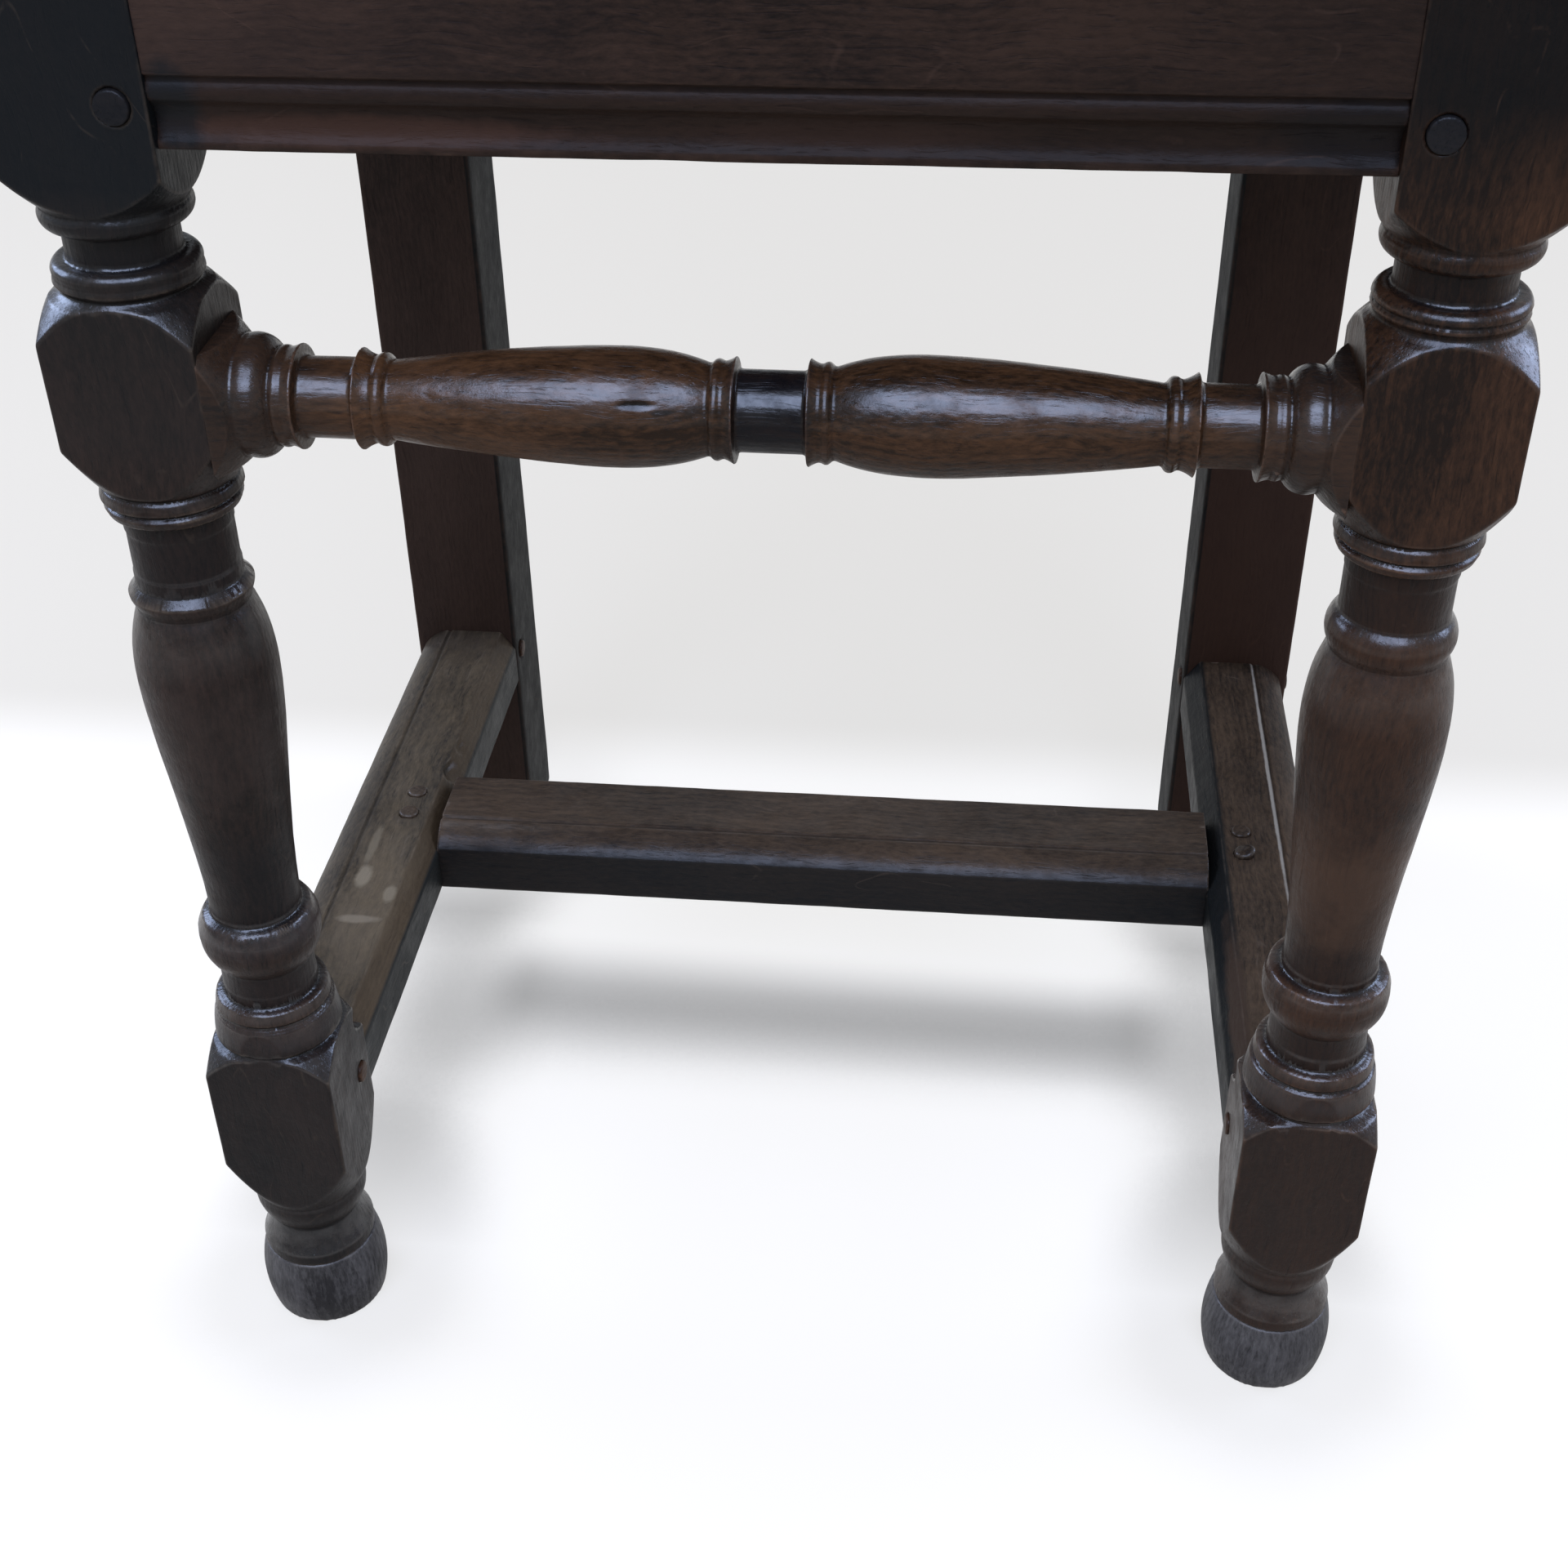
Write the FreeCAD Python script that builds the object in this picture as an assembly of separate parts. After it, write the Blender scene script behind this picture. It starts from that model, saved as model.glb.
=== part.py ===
import FreeCAD, Part
import math
import os

# A joined wainscot side chair of oak, in millimetres.
# The chair faces -Y, +Z is up, the floor is z = 0, and the origin is the middle of its footprint.
# Every joint is a mortise and tenon drawn tight by pegs, as a joiner would have made it.

# Plan of the frame
FRAME_WIDTH = 360.0           # between the centre lines of the front posts
POST_WIDTH = 45.0             # front post, across the chair
POST_DEPTH = 42.0             # front post, front to back
FRONT_POST_Y = -171.3         # centre line of the front posts
SIDE_RAIL_LENGTH = 278.0      # between the shoulders of a side rail
BACK_POST_WIDTH = 48.0
BACK_POST_DEPTH = 44.0

# Heights of the seat frame
SEAT_RAIL_BOTTOM = 457.5
SEAT_RAIL_HEIGHT = 70.0
RAIL_THICKNESS = 26.0
RAIL_SETBACK = 0.8            # a rail's face stands this far behind the post's face
RAIL_MOULDING_HEIGHT = 18.0
RAIL_MOULDING_DEPTH = 4.4

# Front post, lengths of its blocks and of the necks between them
FOOT_TOP = 31.0
LOWER_BLOCK_BELOW = 27.5      # from the lower block's tip up to the low stretchers
LOWER_BLOCK_ABOVE = 18.5      # from the low stretchers up to the lower block's crown
MIDDLE_BLOCK_HEIGHT = 60.0
STRETCHER_ABOVE_TIP = 27.0    # from the middle block's tip up to the high stretcher's centre line
SEAT_BLOCK_BELOW = 20.5       # from the seat block's tip up to the seat rails
LOWER_NECK_LENGTH = 9.0       # between the lower ring and the big bead
UPPER_NECK_LENGTH = 14.0      # between the small bead and the double bead
SHORT_NECK_LENGTH = 9.9       # between the middle block's collar and the seat block's bead

# Front post, heights of the lathe-cut shoulders that end the square blocks
FOOT_SHOULDER = 23.0
LOWER_BLOCK_SHOULDER = 9.5
MIDDLE_TIP_SHOULDER = 16.5
MIDDLE_BLOCK_SHOULDER = 12.0
SEAT_BLOCK_SHOULDER = 11.0

# Front post, radii
FOOT_RADIUS = 23.3
FOOT_BASE_RADIUS = 21.2
FOOT_COLLAR_RADIUS = 20.8
FOOT_COLLAR_HEIGHT = 4.4
FOOT_TENON_RADIUS = 9.0
FOOT_TENON_LENGTH = 24.0
TURNED_NECK_RADIUS = 16.2
BLOCK_BEAD_RADIUS = 21.3      # the beads that meet the blocks
COLLAR_RADIUS = 21.0          # top of the plain band over a block
WIDE_COLLAR_RADIUS = 22.4     # foot of the band over the lower block
SMALL_BEAD_RADIUS = 19.2
BIG_BEAD_RADIUS = 20.7
RING_RADIUS = 20.2
QUIRK_RADIUS = 17.3
VASE_RADIUS = 22.1
VASE_FOOT_RADIUS = 15.4

# Front post, heights of the beads
BIG_BEAD_HEIGHT = 23.0
SMALL_BEAD_HEIGHT = 12.0
THIN_BEAD_HEIGHT = 6.8
COLLAR_BEAD_HEIGHT = 4.0
COLLAR_HEIGHT = 3.8
WIDE_COLLAR_HEIGHT = 12.0
RING_HEIGHT = 12.0
DOUBLE_BEAD_HEIGHT = 15.5
FOOT_NECK_HEIGHT = 15.0

# High front stretcher, turned from a square
STRETCHER_SQUARE = 38.0
STRETCHER_VASE_RADIUS = 17.2
STRETCHER_VASE_START_RADIUS = 12.9
STRETCHER_VASE_END_RADIUS = 11.4
STRETCHER_DISC_RADIUS = 15.5
STRETCHER_NECK_RADIUS = 11.8
STRETCHER_BEAD_RADIUS = 14.8
STRETCHER_QUIRK_RADIUS = 13.6
STRETCHER_BALL_RADIUS = 18.0
STRETCHER_BALL_FOOT_RADIUS = 17.4   # where the ball runs into the shoulder
STRETCHER_SHOULDER_RADIUS = 25.5
CENTRE_NECK_HALF = 9.5
DISC_WIDTH = 7.5
STRETCHER_VASE_LENGTH = 91.0
STRETCHER_BEAD_WIDTH = 9.5
STRETCHER_NECK_LENGTH = 15.5
FIN_WIDTH = 7.5
BALL_WIDTH = 9.5

# Low stretchers, moulded on one edge
LOW_STRETCHER_BOTTOM = 88.0
LOW_STRETCHER_HEIGHT = 29.0
LOW_STRETCHER_WIDTH = 44.0
MEDIAL_BACK = 160.0           # middle of the medial stretcher behind the front posts' centre line
GROOVE_INSET = 14.0           # from the moulded edge to the scratched groove
GROOVE_WIDTH = 2.0
GROOVE_DEPTH = 1.6
ROUNDED_EDGE_DROP = 8.0
ARRIS = 1.8

# Seat boards
SEAT_THICKNESS = 20.0
SEAT_OVERHANG = 14.0
FRONT_BOARD_WIDTH = 182.0
SEAT_TONGUE_LENGTH = 7.0
SEAT_TONGUE_THICKNESS = 6.0
SEAT_TOP_ROUND = 3.5
SEAT_BOTTOM_ROUND = 9.0
SEAT_BACK_MARGIN = 2.0        # the rear board stops short of the back rail's rear face

# Back, measured along the posts before they are raked
RAKE_ANGLE = 5.0              # degrees
KNEE_ABOVE_SEAT = 8.0
BACK_POST_TOP = 1000.0
BACK_POST_TOP_DEPTH = 34.0
BACK_RAIL_THICKNESS = 24.0
BACK_RAIL_SETBACK = 4.0
BACK_GAP = 88.5               # open space between the seat and the back's lower rail
LOWER_RAIL_HEIGHT = 48.0
MIDDLE_RAIL_HEIGHT = 36.0
UPPER_PANEL_HEIGHT = 80.0     # between the middle rail and the crest
BACK_RAIL_CHAMFER = 3.0

# Panels
PANEL_GROOVE_DEPTH = 9.0
PANEL_GROOVE_WIDTH = 8.0
PANEL_EDGE_THICKNESS = 7.4
PANEL_FIELD_RISE = 4.0
PANEL_MARGIN = 24.0
PANEL_PLAY = 0.6              # room for the panel to swell in its groove

# Crest rail
CREST_OVERHANG = 7.0
CREST_EAR_HEIGHT = 34.0
CREST_HEIGHT = 80.0
CREST_THICKNESS = 33.0
CREST_GROOVE_RISE = 9.0

# Joints
TENON_THICKNESS = 9.0
TENON_LENGTH = 24.0
TENON_SHOULDER = 2.0          # shoulder under a seat rail's tenon
TENON_HEAD_SHOULDER = 12.0    # shoulder over a seat rail's tenon
STRETCHER_TENON_HEIGHT = 24.0
MEDIAL_TENON_WIDTH = 30.0
MEDIAL_TENON_THICKNESS = 11.0
CREST_TENON_WIDTH = 24.0
CREST_TENON_HEIGHT = 26.0
CHEEK_CLEARANCE = 0.15
END_CLEARANCE = 0.6
PEG_RADIUS = 4.6
SMALL_PEG_RADIUS = 3.8
PEG_INSET = 9.5               # peg centre from the shoulder line
PEG_CLEARANCE = 0.1
PEG_PROUD = 0.8
PEG_PAST_TENON = 8.0
SEAT_PEG_DEPTH = 22.0         # how far a seat peg goes into its rail
SEAT_PEG_X = 105.0
SIDE_PEG_FRONT = 84.0         # seat pegs along the side rails, behind the front posts' centre line
SIDE_PEG_REAR = 236.0
OVERRUN = 2.0                 # how far a cutting tool passes the surface it opens

# Places worked out from the sizes above
INNER_X = (FRAME_WIDTH - POST_WIDTH) / 2
OUTER_X = (FRAME_WIDTH + POST_WIDTH) / 2
POST_FRONT = FRONT_POST_Y - POST_DEPTH / 2
POST_REAR = FRONT_POST_Y + POST_DEPTH / 2
BACK_FACE = POST_REAR + SIDE_RAIL_LENGTH
BACK_REAR = BACK_FACE + BACK_POST_DEPTH
BACK_POST_X = INNER_X + BACK_POST_WIDTH / 2
SEAT_FRAME_TOP = SEAT_RAIL_BOTTOM + SEAT_RAIL_HEIGHT
SEAT_TOP = SEAT_FRAME_TOP + SEAT_THICKNESS
KNEE = SEAT_TOP + KNEE_ABOVE_SEAT
BLOCK_SWEEP = math.hypot(POST_WIDTH, POST_DEPTH) / 2
LOW_STRETCHER_TOP = LOW_STRETCHER_BOTTOM + LOW_STRETCHER_HEIGHT
LOW_STRETCHER_MIDDLE = LOW_STRETCHER_BOTTOM + LOW_STRETCHER_HEIGHT / 2
LOWER_BLOCK_TIP = LOW_STRETCHER_BOTTOM - LOWER_BLOCK_BELOW
LOWER_BLOCK_CROWN = LOW_STRETCHER_TOP + LOWER_BLOCK_ABOVE
VASE_FOOT = LOWER_BLOCK_CROWN + WIDE_COLLAR_HEIGHT + RING_HEIGHT + LOWER_NECK_LENGTH + BIG_BEAD_HEIGHT
SEAT_BLOCK_TIP = SEAT_RAIL_BOTTOM - SEAT_BLOCK_BELOW
SEAT_NECK_TOP = SEAT_BLOCK_TIP - THIN_BEAD_HEIGHT
SEAT_NECK_BOTTOM = SEAT_NECK_TOP - SHORT_NECK_LENGTH
MIDDLE_BLOCK_CROWN = SEAT_NECK_BOTTOM - COLLAR_BEAD_HEIGHT - COLLAR_HEIGHT
MIDDLE_BLOCK_TIP = MIDDLE_BLOCK_CROWN - MIDDLE_BLOCK_HEIGHT
VASE_HEAD = MIDDLE_BLOCK_TIP - DOUBLE_BEAD_HEIGHT - UPPER_NECK_LENGTH - SMALL_BEAD_HEIGHT
STRETCHER_HEIGHT = MIDDLE_BLOCK_TIP + STRETCHER_ABOVE_TIP
FRONT_RAIL_Y = POST_FRONT + RAIL_SETBACK + RAIL_THICKNESS / 2
SIDE_RAIL_X = OUTER_X - RAIL_SETBACK - RAIL_THICKNESS / 2
BACK_RAIL_Y = BACK_REAR - RAIL_SETBACK - RAIL_THICKNESS / 2
STRETCHER_Y = POST_FRONT + STRETCHER_SQUARE / 2
MEDIAL_Y = FRONT_POST_Y + MEDIAL_BACK
SIDE_STRETCHER_INNER = FRAME_WIDTH / 2 - LOW_STRETCHER_WIDTH / 2
PANEL_Y = BACK_FACE + BACK_RAIL_SETBACK + BACK_RAIL_THICKNESS / 2
LOWER_RAIL_BOTTOM = SEAT_TOP + BACK_GAP
MIDDLE_RAIL_BOTTOM = BACK_POST_TOP - UPPER_PANEL_HEIGHT - MIDDLE_RAIL_HEIGHT
CREST_TOP = BACK_POST_TOP + CREST_HEIGHT

# Outlines and places as shares of the sizes that they follow
VASE_SHARES = ((0.13, 0.08), (0.30, 0.30), (0.47, 0.60), (0.62, 0.85), (0.77, 1.0), (0.90, 0.83))
STRETCHER_VASE_SHARES = ((0.12, 0.70), (0.28, 1.0), (0.46, 0.86), (0.66, 0.51), (0.84, 0.10))
MOULDING_SHARES = ((0.06, 0.60), (0.18, 0.10), (0.38, 0.26), (0.62, 0.96), (0.88, 0.46))
PEG_EDGE_SHARE = 1.7          # peg centre from a tenon's edge, in peg radii
FOOT_BULGE_SHARE = 0.42
RING_CROWN_SHARE = 0.6
BALL_CROWN_SHARE = 0.58
FLANGE_FACE_SHARE = 0.08
FLANGE_FLARE_SHARE = 0.5
FLANGE_WAIST_SHARE = 0.3
FLANGE_HOLLOW_SHARE = 0.35
FLANGE_BEAD_SHARE = 0.3
COVE_SHARE = 0.4
SHOULDER_SHARE = 0.54
COLLAR_SHARE = 0.7
ROUNDED_EDGE_SHARE = 0.6
MEDIAL_PEG_SHARE = 0.62
CREST_ARCH_SHARE = 0.52
CREST_DIP_SHARE = 0.78
CREST_WAIST_SHARE = 0.5
CREST_ROUND_SHARE = 0.07
PAIR_PEG_SHARE = 0.25
RAIL_PEG_LOW = SEAT_RAIL_BOTTOM + TENON_SHOULDER + PEG_RADIUS * PEG_EDGE_SHARE
RAIL_PEG_HIGH = SEAT_FRAME_TOP - TENON_HEAD_SHOULDER - PEG_RADIUS * PEG_EDGE_SHARE

X_AXIS = FreeCAD.Vector(1, 0, 0)
Y_AXIS = FreeCAD.Vector(0, 1, 0)
Z_AXIS = FreeCAD.Vector(0, 0, 1)


def vec(x, y, z):
    return FreeCAD.Vector(x, y, z)


def block(x_range, y_range, z_range):
    """A box from its three ranges."""
    size = [high - low for low, high in (x_range, y_range, z_range)]
    return Part.makeBox(*size, vec(x_range[0], y_range[0], z_range[0]))


def around(middle, width):
    """The range of a width set about its middle."""
    return (middle - width / 2, middle + width / 2)


def wider(span, clearance):
    return (span[0] - clearance, span[1] + clearance)


def mirrored(shape):
    """The same piece for the other side of the chair."""
    return shape.mirror(vec(0, 0, 0), X_AXIS)


def raked(shape):
    """Leans a piece of the back about the knee of the posts."""
    leaned = shape.copy()
    leaned.rotate(vec(0, BACK_FACE, KNEE), X_AXIS, -RAKE_ANGLE)
    return leaned


def prism(points, axis, length):
    """A flat outline pushed along an axis."""
    outline = Part.makePolygon(points + [points[0]])
    return Part.Face(outline).extrude(axis * length)


class Turning:
    """Half outline of turned work, drawn along the lathe axis and then spun."""

    def __init__(self, start, radius):
        self.at = start
        self.radius = radius
        self.first = vec(radius, 0, start)
        self.edges = []

    def here(self):
        return vec(self.radius, 0, self.at)

    def line(self, at, radius):
        self.edges.append(Part.makeLine(self.here(), vec(radius, 0, at)))
        self.at = at
        self.radius = radius

    def arc(self, middle_at, middle_radius, at, radius):
        middle = vec(middle_radius, 0, middle_at)
        self.edges.append(Part.Arc(self.here(), middle, vec(radius, 0, at)).toShape())
        self.at = at
        self.radius = radius

    def bead(self, height, bulge, radius):
        """A half-round bead that swells to the bulge and comes back to the radius."""
        self.arc(self.at + height / 2, bulge, self.at + height, radius)

    def shoulder(self, at, radius):
        """The end of a square block, cut a little rounded between two radii."""
        low, high = sorted((self.radius, radius))
        self.arc((self.at + at) / 2, low + (high - low) * SHOULDER_SHARE, at, radius)

    def flange(self, width, edge, radius, rising):
        """A sharp disc beside a neck, with a small bead behind it on the side of the swelling."""
        swelling = radius if rising else self.radius
        face = width * FLANGE_FACE_SHARE
        flare = width * FLANGE_FLARE_SHARE
        waist = swelling + (edge - swelling) * FLANGE_WAIST_SHARE
        hollow = waist + (edge - waist) * FLANGE_HOLLOW_SHARE
        crest = waist + (edge - swelling) * FLANGE_BEAD_SHARE
        if rising:
            self.line(self.at + face, edge)
            self.arc(self.at + flare / 2, hollow, self.at + flare, waist)
            self.bead(width - face - flare, crest, radius)
        else:
            self.bead(width - face - flare, crest, waist)
            self.arc(self.at + flare / 2, hollow, self.at + flare, edge)
            self.line(self.at + face, radius)

    def collar(self, height, radius):
        """A plain band over a block that draws in a little toward its top."""
        bulge = radius + (self.radius - radius) * COLLAR_SHARE
        self.arc(self.at + height / 2, bulge, self.at + height, radius)

    def vase(self, at, bulge, radius, shares):
        """A long swelling curve; the shares are of its length and of its swelling."""
        start, low, length = self.at, self.radius, at - self.at
        points = [self.here()]
        for along, swelling in shares:
            points.append(vec(low + (bulge - low) * swelling, 0, start + length * along))
        points.append(vec(radius, 0, at))
        curve = Part.BSplineCurve()
        curve.interpolate(points)
        self.edges.append(curve.toShape())
        self.at = at
        self.radius = radius

    def spin(self):
        foot = vec(0, 0, self.first.z)
        head = vec(0, 0, self.at)
        closing = [Part.makeLine(foot, self.first)]
        ending = [Part.makeLine(self.here(), head), Part.makeLine(head, foot)]
        outline = Part.Wire(closing + self.edges + ending)
        return Part.Face(outline).revolve(vec(0, 0, 0), Z_AXIS, 360)


def peg(start, axis, length, radius):
    """A riven peg: a plain round rod that stands a little proud of the face."""
    return Part.makeCylinder(radius, length + PEG_PROUD, start - axis * PEG_PROUD, axis)


def peg_hole(start, axis, length, radius):
    open_start = start - axis * OVERRUN
    return Part.makeCylinder(radius + PEG_CLEARANCE, length + OVERRUN + PEG_CLEARANCE, open_start, axis)


def drill(shape, pegs):
    """Cuts the holes of a list of pegs, each a start, axis, length and radius."""
    for placed in pegs:
        shape = shape.cut(peg_hole(*placed))
    return shape


def drill_both(shape, pegs):
    """Cuts the same holes on both sides of the chair."""
    return mirrored(drill(mirrored(drill(shape, pegs)), pegs))


def tongue(axis, mouth, end, cheeks):
    """A tenon along X, Y or Z (axis 0, 1 or 2), from its shoulder line to its end, between its cheeks."""
    spans = list(cheeks)
    spans.insert(axis, (min(mouth, end), max(mouth, end)))
    return block(*spans)


def mortise(axis, mouth, end, cheeks):
    """The hole for the same tenon, with room at the cheeks and at the end."""
    inward = 1 if end > mouth else -1
    loose = [wider(span, CHEEK_CLEARANCE) for span in cheeks]
    return tongue(axis, mouth - inward * OVERRUN, end + inward * END_CLEARANCE, loose)


def grown(shape, joints):
    for joint in joints:
        shape = shape.fuse(tongue(*joint))
    return shape


def housed(shape, joints):
    for joint in joints:
        shape = shape.cut(mortise(*joint))
    return shape


# Joints of the right-hand side; the left-hand side mirrors them

SEAT_TENON_SPAN = (SEAT_RAIL_BOTTOM + TENON_SHOULDER, SEAT_FRAME_TOP - TENON_HEAD_SHOULDER)
STRETCHER_TENON_SPAN = around(LOW_STRETCHER_MIDDLE, STRETCHER_TENON_HEIGHT)


def cross_joint(middle_y, z_span):
    """A rail across the chair enters the right-hand post from its inner face."""
    return (0, INNER_X, INNER_X + TENON_LENGTH, (around(middle_y, TENON_THICKNESS), z_span))


def side_joint(middle_x, shoulder_y, inward, z_span):
    """A rail along the side enters a post from its rear or front face."""
    return (1, shoulder_y, shoulder_y + inward * TENON_LENGTH, (around(middle_x, TENON_THICKNESS), z_span))


FRONT_RAIL_JOINT = cross_joint(FRONT_RAIL_Y, SEAT_TENON_SPAN)
BACK_RAIL_JOINT = cross_joint(BACK_RAIL_Y, SEAT_TENON_SPAN)
FRONT_STRETCHER_JOINT = cross_joint(STRETCHER_Y, around(STRETCHER_HEIGHT, STRETCHER_TENON_HEIGHT))
SIDE_RAIL_JOINTS = (
    side_joint(SIDE_RAIL_X, POST_REAR, -1, SEAT_TENON_SPAN),
    side_joint(SIDE_RAIL_X, BACK_FACE, 1, SEAT_TENON_SPAN),
)
SIDE_STRETCHER_JOINTS = (
    side_joint(FRAME_WIDTH / 2, POST_REAR, -1, STRETCHER_TENON_SPAN),
    side_joint(FRAME_WIDTH / 2, BACK_FACE, 1, STRETCHER_TENON_SPAN),
)
MEDIAL_JOINT = (0, SIDE_STRETCHER_INNER, SIDE_STRETCHER_INNER + TENON_LENGTH,
                (around(MEDIAL_Y, MEDIAL_TENON_WIDTH), around(LOW_STRETCHER_MIDDLE, MEDIAL_TENON_THICKNESS)))


# Front posts and their feet

def foot_neck(turning):
    """From the foot's collar to the tip of the lower block."""
    waist = FOOT_TOP + FOOT_NECK_HEIGHT
    turning.line(FOOT_TOP + FOOT_COLLAR_HEIGHT, FOOT_COLLAR_RADIUS)
    cove_radius = TURNED_NECK_RADIUS + (FOOT_COLLAR_RADIUS - TURNED_NECK_RADIUS) * COVE_SHARE
    turning.arc((turning.at + waist) / 2, cove_radius, waist, TURNED_NECK_RADIUS)
    rise = LOWER_BLOCK_TIP - waist
    turning.arc(waist + rise / 2, RING_RADIUS, LOWER_BLOCK_TIP, RING_RADIUS)


def lower_rings(turning):
    """From the crown of the lower block to the foot of the vase."""
    turning.collar(WIDE_COLLAR_HEIGHT, COLLAR_RADIUS)
    turning.line(turning.at, RING_RADIUS)
    turning.arc(turning.at + RING_HEIGHT * RING_CROWN_SHARE, SMALL_BEAD_RADIUS,
                turning.at + RING_HEIGHT, TURNED_NECK_RADIUS)
    turning.line(VASE_FOOT - BIG_BEAD_HEIGHT, TURNED_NECK_RADIUS)
    turning.bead(BIG_BEAD_HEIGHT, BIG_BEAD_RADIUS, VASE_FOOT_RADIUS)


def upper_rings(turning):
    """From the head of the vase to the tip of the middle block."""
    turning.bead(SMALL_BEAD_HEIGHT, SMALL_BEAD_RADIUS, TURNED_NECK_RADIUS)
    turning.line(MIDDLE_BLOCK_TIP - DOUBLE_BEAD_HEIGHT, TURNED_NECK_RADIUS)
    half = DOUBLE_BEAD_HEIGHT / 2
    turning.arc(turning.at + half * RING_CROWN_SHARE, SMALL_BEAD_RADIUS, turning.at + half, RING_RADIUS)
    turning.bead(half, BLOCK_BEAD_RADIUS, RING_RADIUS)


def seat_neck(turning):
    """The short neck between the middle block and the seat block."""
    turning.collar(COLLAR_HEIGHT, COLLAR_RADIUS)
    turning.line(turning.at, RING_RADIUS)
    turning.bead(COLLAR_BEAD_HEIGHT, COLLAR_RADIUS, TURNED_NECK_RADIUS)
    turning.line(SEAT_NECK_TOP, TURNED_NECK_RADIUS)
    turning.bead(THIN_BEAD_HEIGHT, BLOCK_BEAD_RADIUS, RING_RADIUS)


def front_post_turning():
    """The whole post as spun, with its blocks still round; the square stock cuts them later."""
    turning = Turning(FOOT_TOP, FOOT_COLLAR_RADIUS)
    foot_neck(turning)
    turning.shoulder(LOWER_BLOCK_TIP + FOOT_SHOULDER, BLOCK_SWEEP)
    turning.line(LOWER_BLOCK_CROWN - LOWER_BLOCK_SHOULDER, BLOCK_SWEEP)
    turning.shoulder(LOWER_BLOCK_CROWN, WIDE_COLLAR_RADIUS)
    lower_rings(turning)
    turning.vase(VASE_HEAD, VASE_RADIUS, QUIRK_RADIUS, VASE_SHARES)
    upper_rings(turning)
    turning.shoulder(MIDDLE_BLOCK_TIP + MIDDLE_TIP_SHOULDER, BLOCK_SWEEP)
    turning.line(MIDDLE_BLOCK_CROWN - MIDDLE_BLOCK_SHOULDER, BLOCK_SWEEP)
    turning.shoulder(MIDDLE_BLOCK_CROWN, BLOCK_BEAD_RADIUS)
    seat_neck(turning)
    turning.shoulder(SEAT_BLOCK_TIP + SEAT_BLOCK_SHOULDER, BLOCK_SWEEP)
    turning.line(SEAT_FRAME_TOP, BLOCK_SWEEP)
    return turning.spin()


def seat_rail_pegs_front():
    """Pegs of the front rail, driven from the face of the post."""
    start_x = INNER_X + PEG_INSET
    length = FRONT_RAIL_Y + TENON_THICKNESS / 2 + PEG_PAST_TENON - POST_FRONT
    heights = (RAIL_PEG_LOW, RAIL_PEG_HIGH)
    return [(vec(start_x, POST_FRONT, z), Y_AXIS, length, PEG_RADIUS) for z in heights]


def seat_rail_pegs_side(shoulder_y, outer_x):
    """Pegs of one end of a side rail, driven from outside."""
    length = outer_x - SIDE_RAIL_X + TENON_THICKNESS / 2 + PEG_PAST_TENON
    heights = (RAIL_PEG_LOW, RAIL_PEG_HIGH)
    return [(vec(outer_x, shoulder_y, z), X_AXIS * -1, length, PEG_RADIUS) for z in heights]


def side_stretcher_pegs(shoulder_y, outer_x):
    """One peg right through the post, showing on its inner face too."""
    start = vec(outer_x, shoulder_y, LOW_STRETCHER_MIDDLE)
    return [(start, X_AXIS * -1, outer_x - INNER_X + PEG_PROUD, SMALL_PEG_RADIUS)]


def front_stretcher_pegs():
    """A blind peg from the rear face, so that none shows on the middle block's face."""
    start = vec(INNER_X + PEG_INSET, POST_REAR, STRETCHER_HEIGHT)
    length = POST_REAR - STRETCHER_Y + TENON_THICKNESS / 2 + PEG_PAST_TENON / 2
    return [(start, Y_AXIS * -1, length, SMALL_PEG_RADIUS)]


FRONT_JOINT_Y = POST_REAR - PEG_INSET
BACK_JOINT_Y = BACK_FACE + PEG_INSET


def front_post_pegs():
    """Every peg of the right-hand front post."""
    pegs = seat_rail_pegs_front() + seat_rail_pegs_side(FRONT_JOINT_Y, OUTER_X)
    return pegs + side_stretcher_pegs(FRONT_JOINT_Y, OUTER_X) + front_stretcher_pegs()


def post_stock():
    """The squared stock; the vases are a little wider than its planed faces, so they stay round."""
    stock = block(around(0, POST_WIDTH), around(0, POST_DEPTH), (FOOT_TOP, SEAT_FRAME_TOP))
    return stock.fuse(Part.makeCylinder(BLOCK_SWEEP, VASE_HEAD - VASE_FOOT, vec(0, 0, VASE_FOOT)))


def front_post():
    post = front_post_turning().common(post_stock())
    socket_radius = FOOT_TENON_RADIUS + CHEEK_CLEARANCE
    socket_depth = FOOT_TENON_LENGTH + END_CLEARANCE
    socket = Part.makeCylinder(socket_radius, socket_depth + OVERRUN, vec(0, 0, FOOT_TOP - OVERRUN))
    post = post.cut(socket)
    post.translate(vec(FRAME_WIDTH / 2, FRONT_POST_Y, 0))
    joints = [FRONT_RAIL_JOINT, FRONT_STRETCHER_JOINT, SIDE_RAIL_JOINTS[0], SIDE_STRETCHER_JOINTS[0]]
    return drill(housed(post, joints), front_post_pegs())


def front_foot():
    """Bun foot with a round tenon that goes up into the post."""
    turning = Turning(0, FOOT_BASE_RADIUS)
    turning.arc(FOOT_TOP * FOOT_BULGE_SHARE, FOOT_RADIUS, FOOT_TOP, FOOT_COLLAR_RADIUS)
    turning.line(FOOT_TOP, FOOT_TENON_RADIUS)
    turning.line(FOOT_TOP + FOOT_TENON_LENGTH, FOOT_TENON_RADIUS)
    foot = turning.spin()
    foot.translate(vec(FRAME_WIDTH / 2, FRONT_POST_Y, 0))
    return foot


# Back posts

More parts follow.
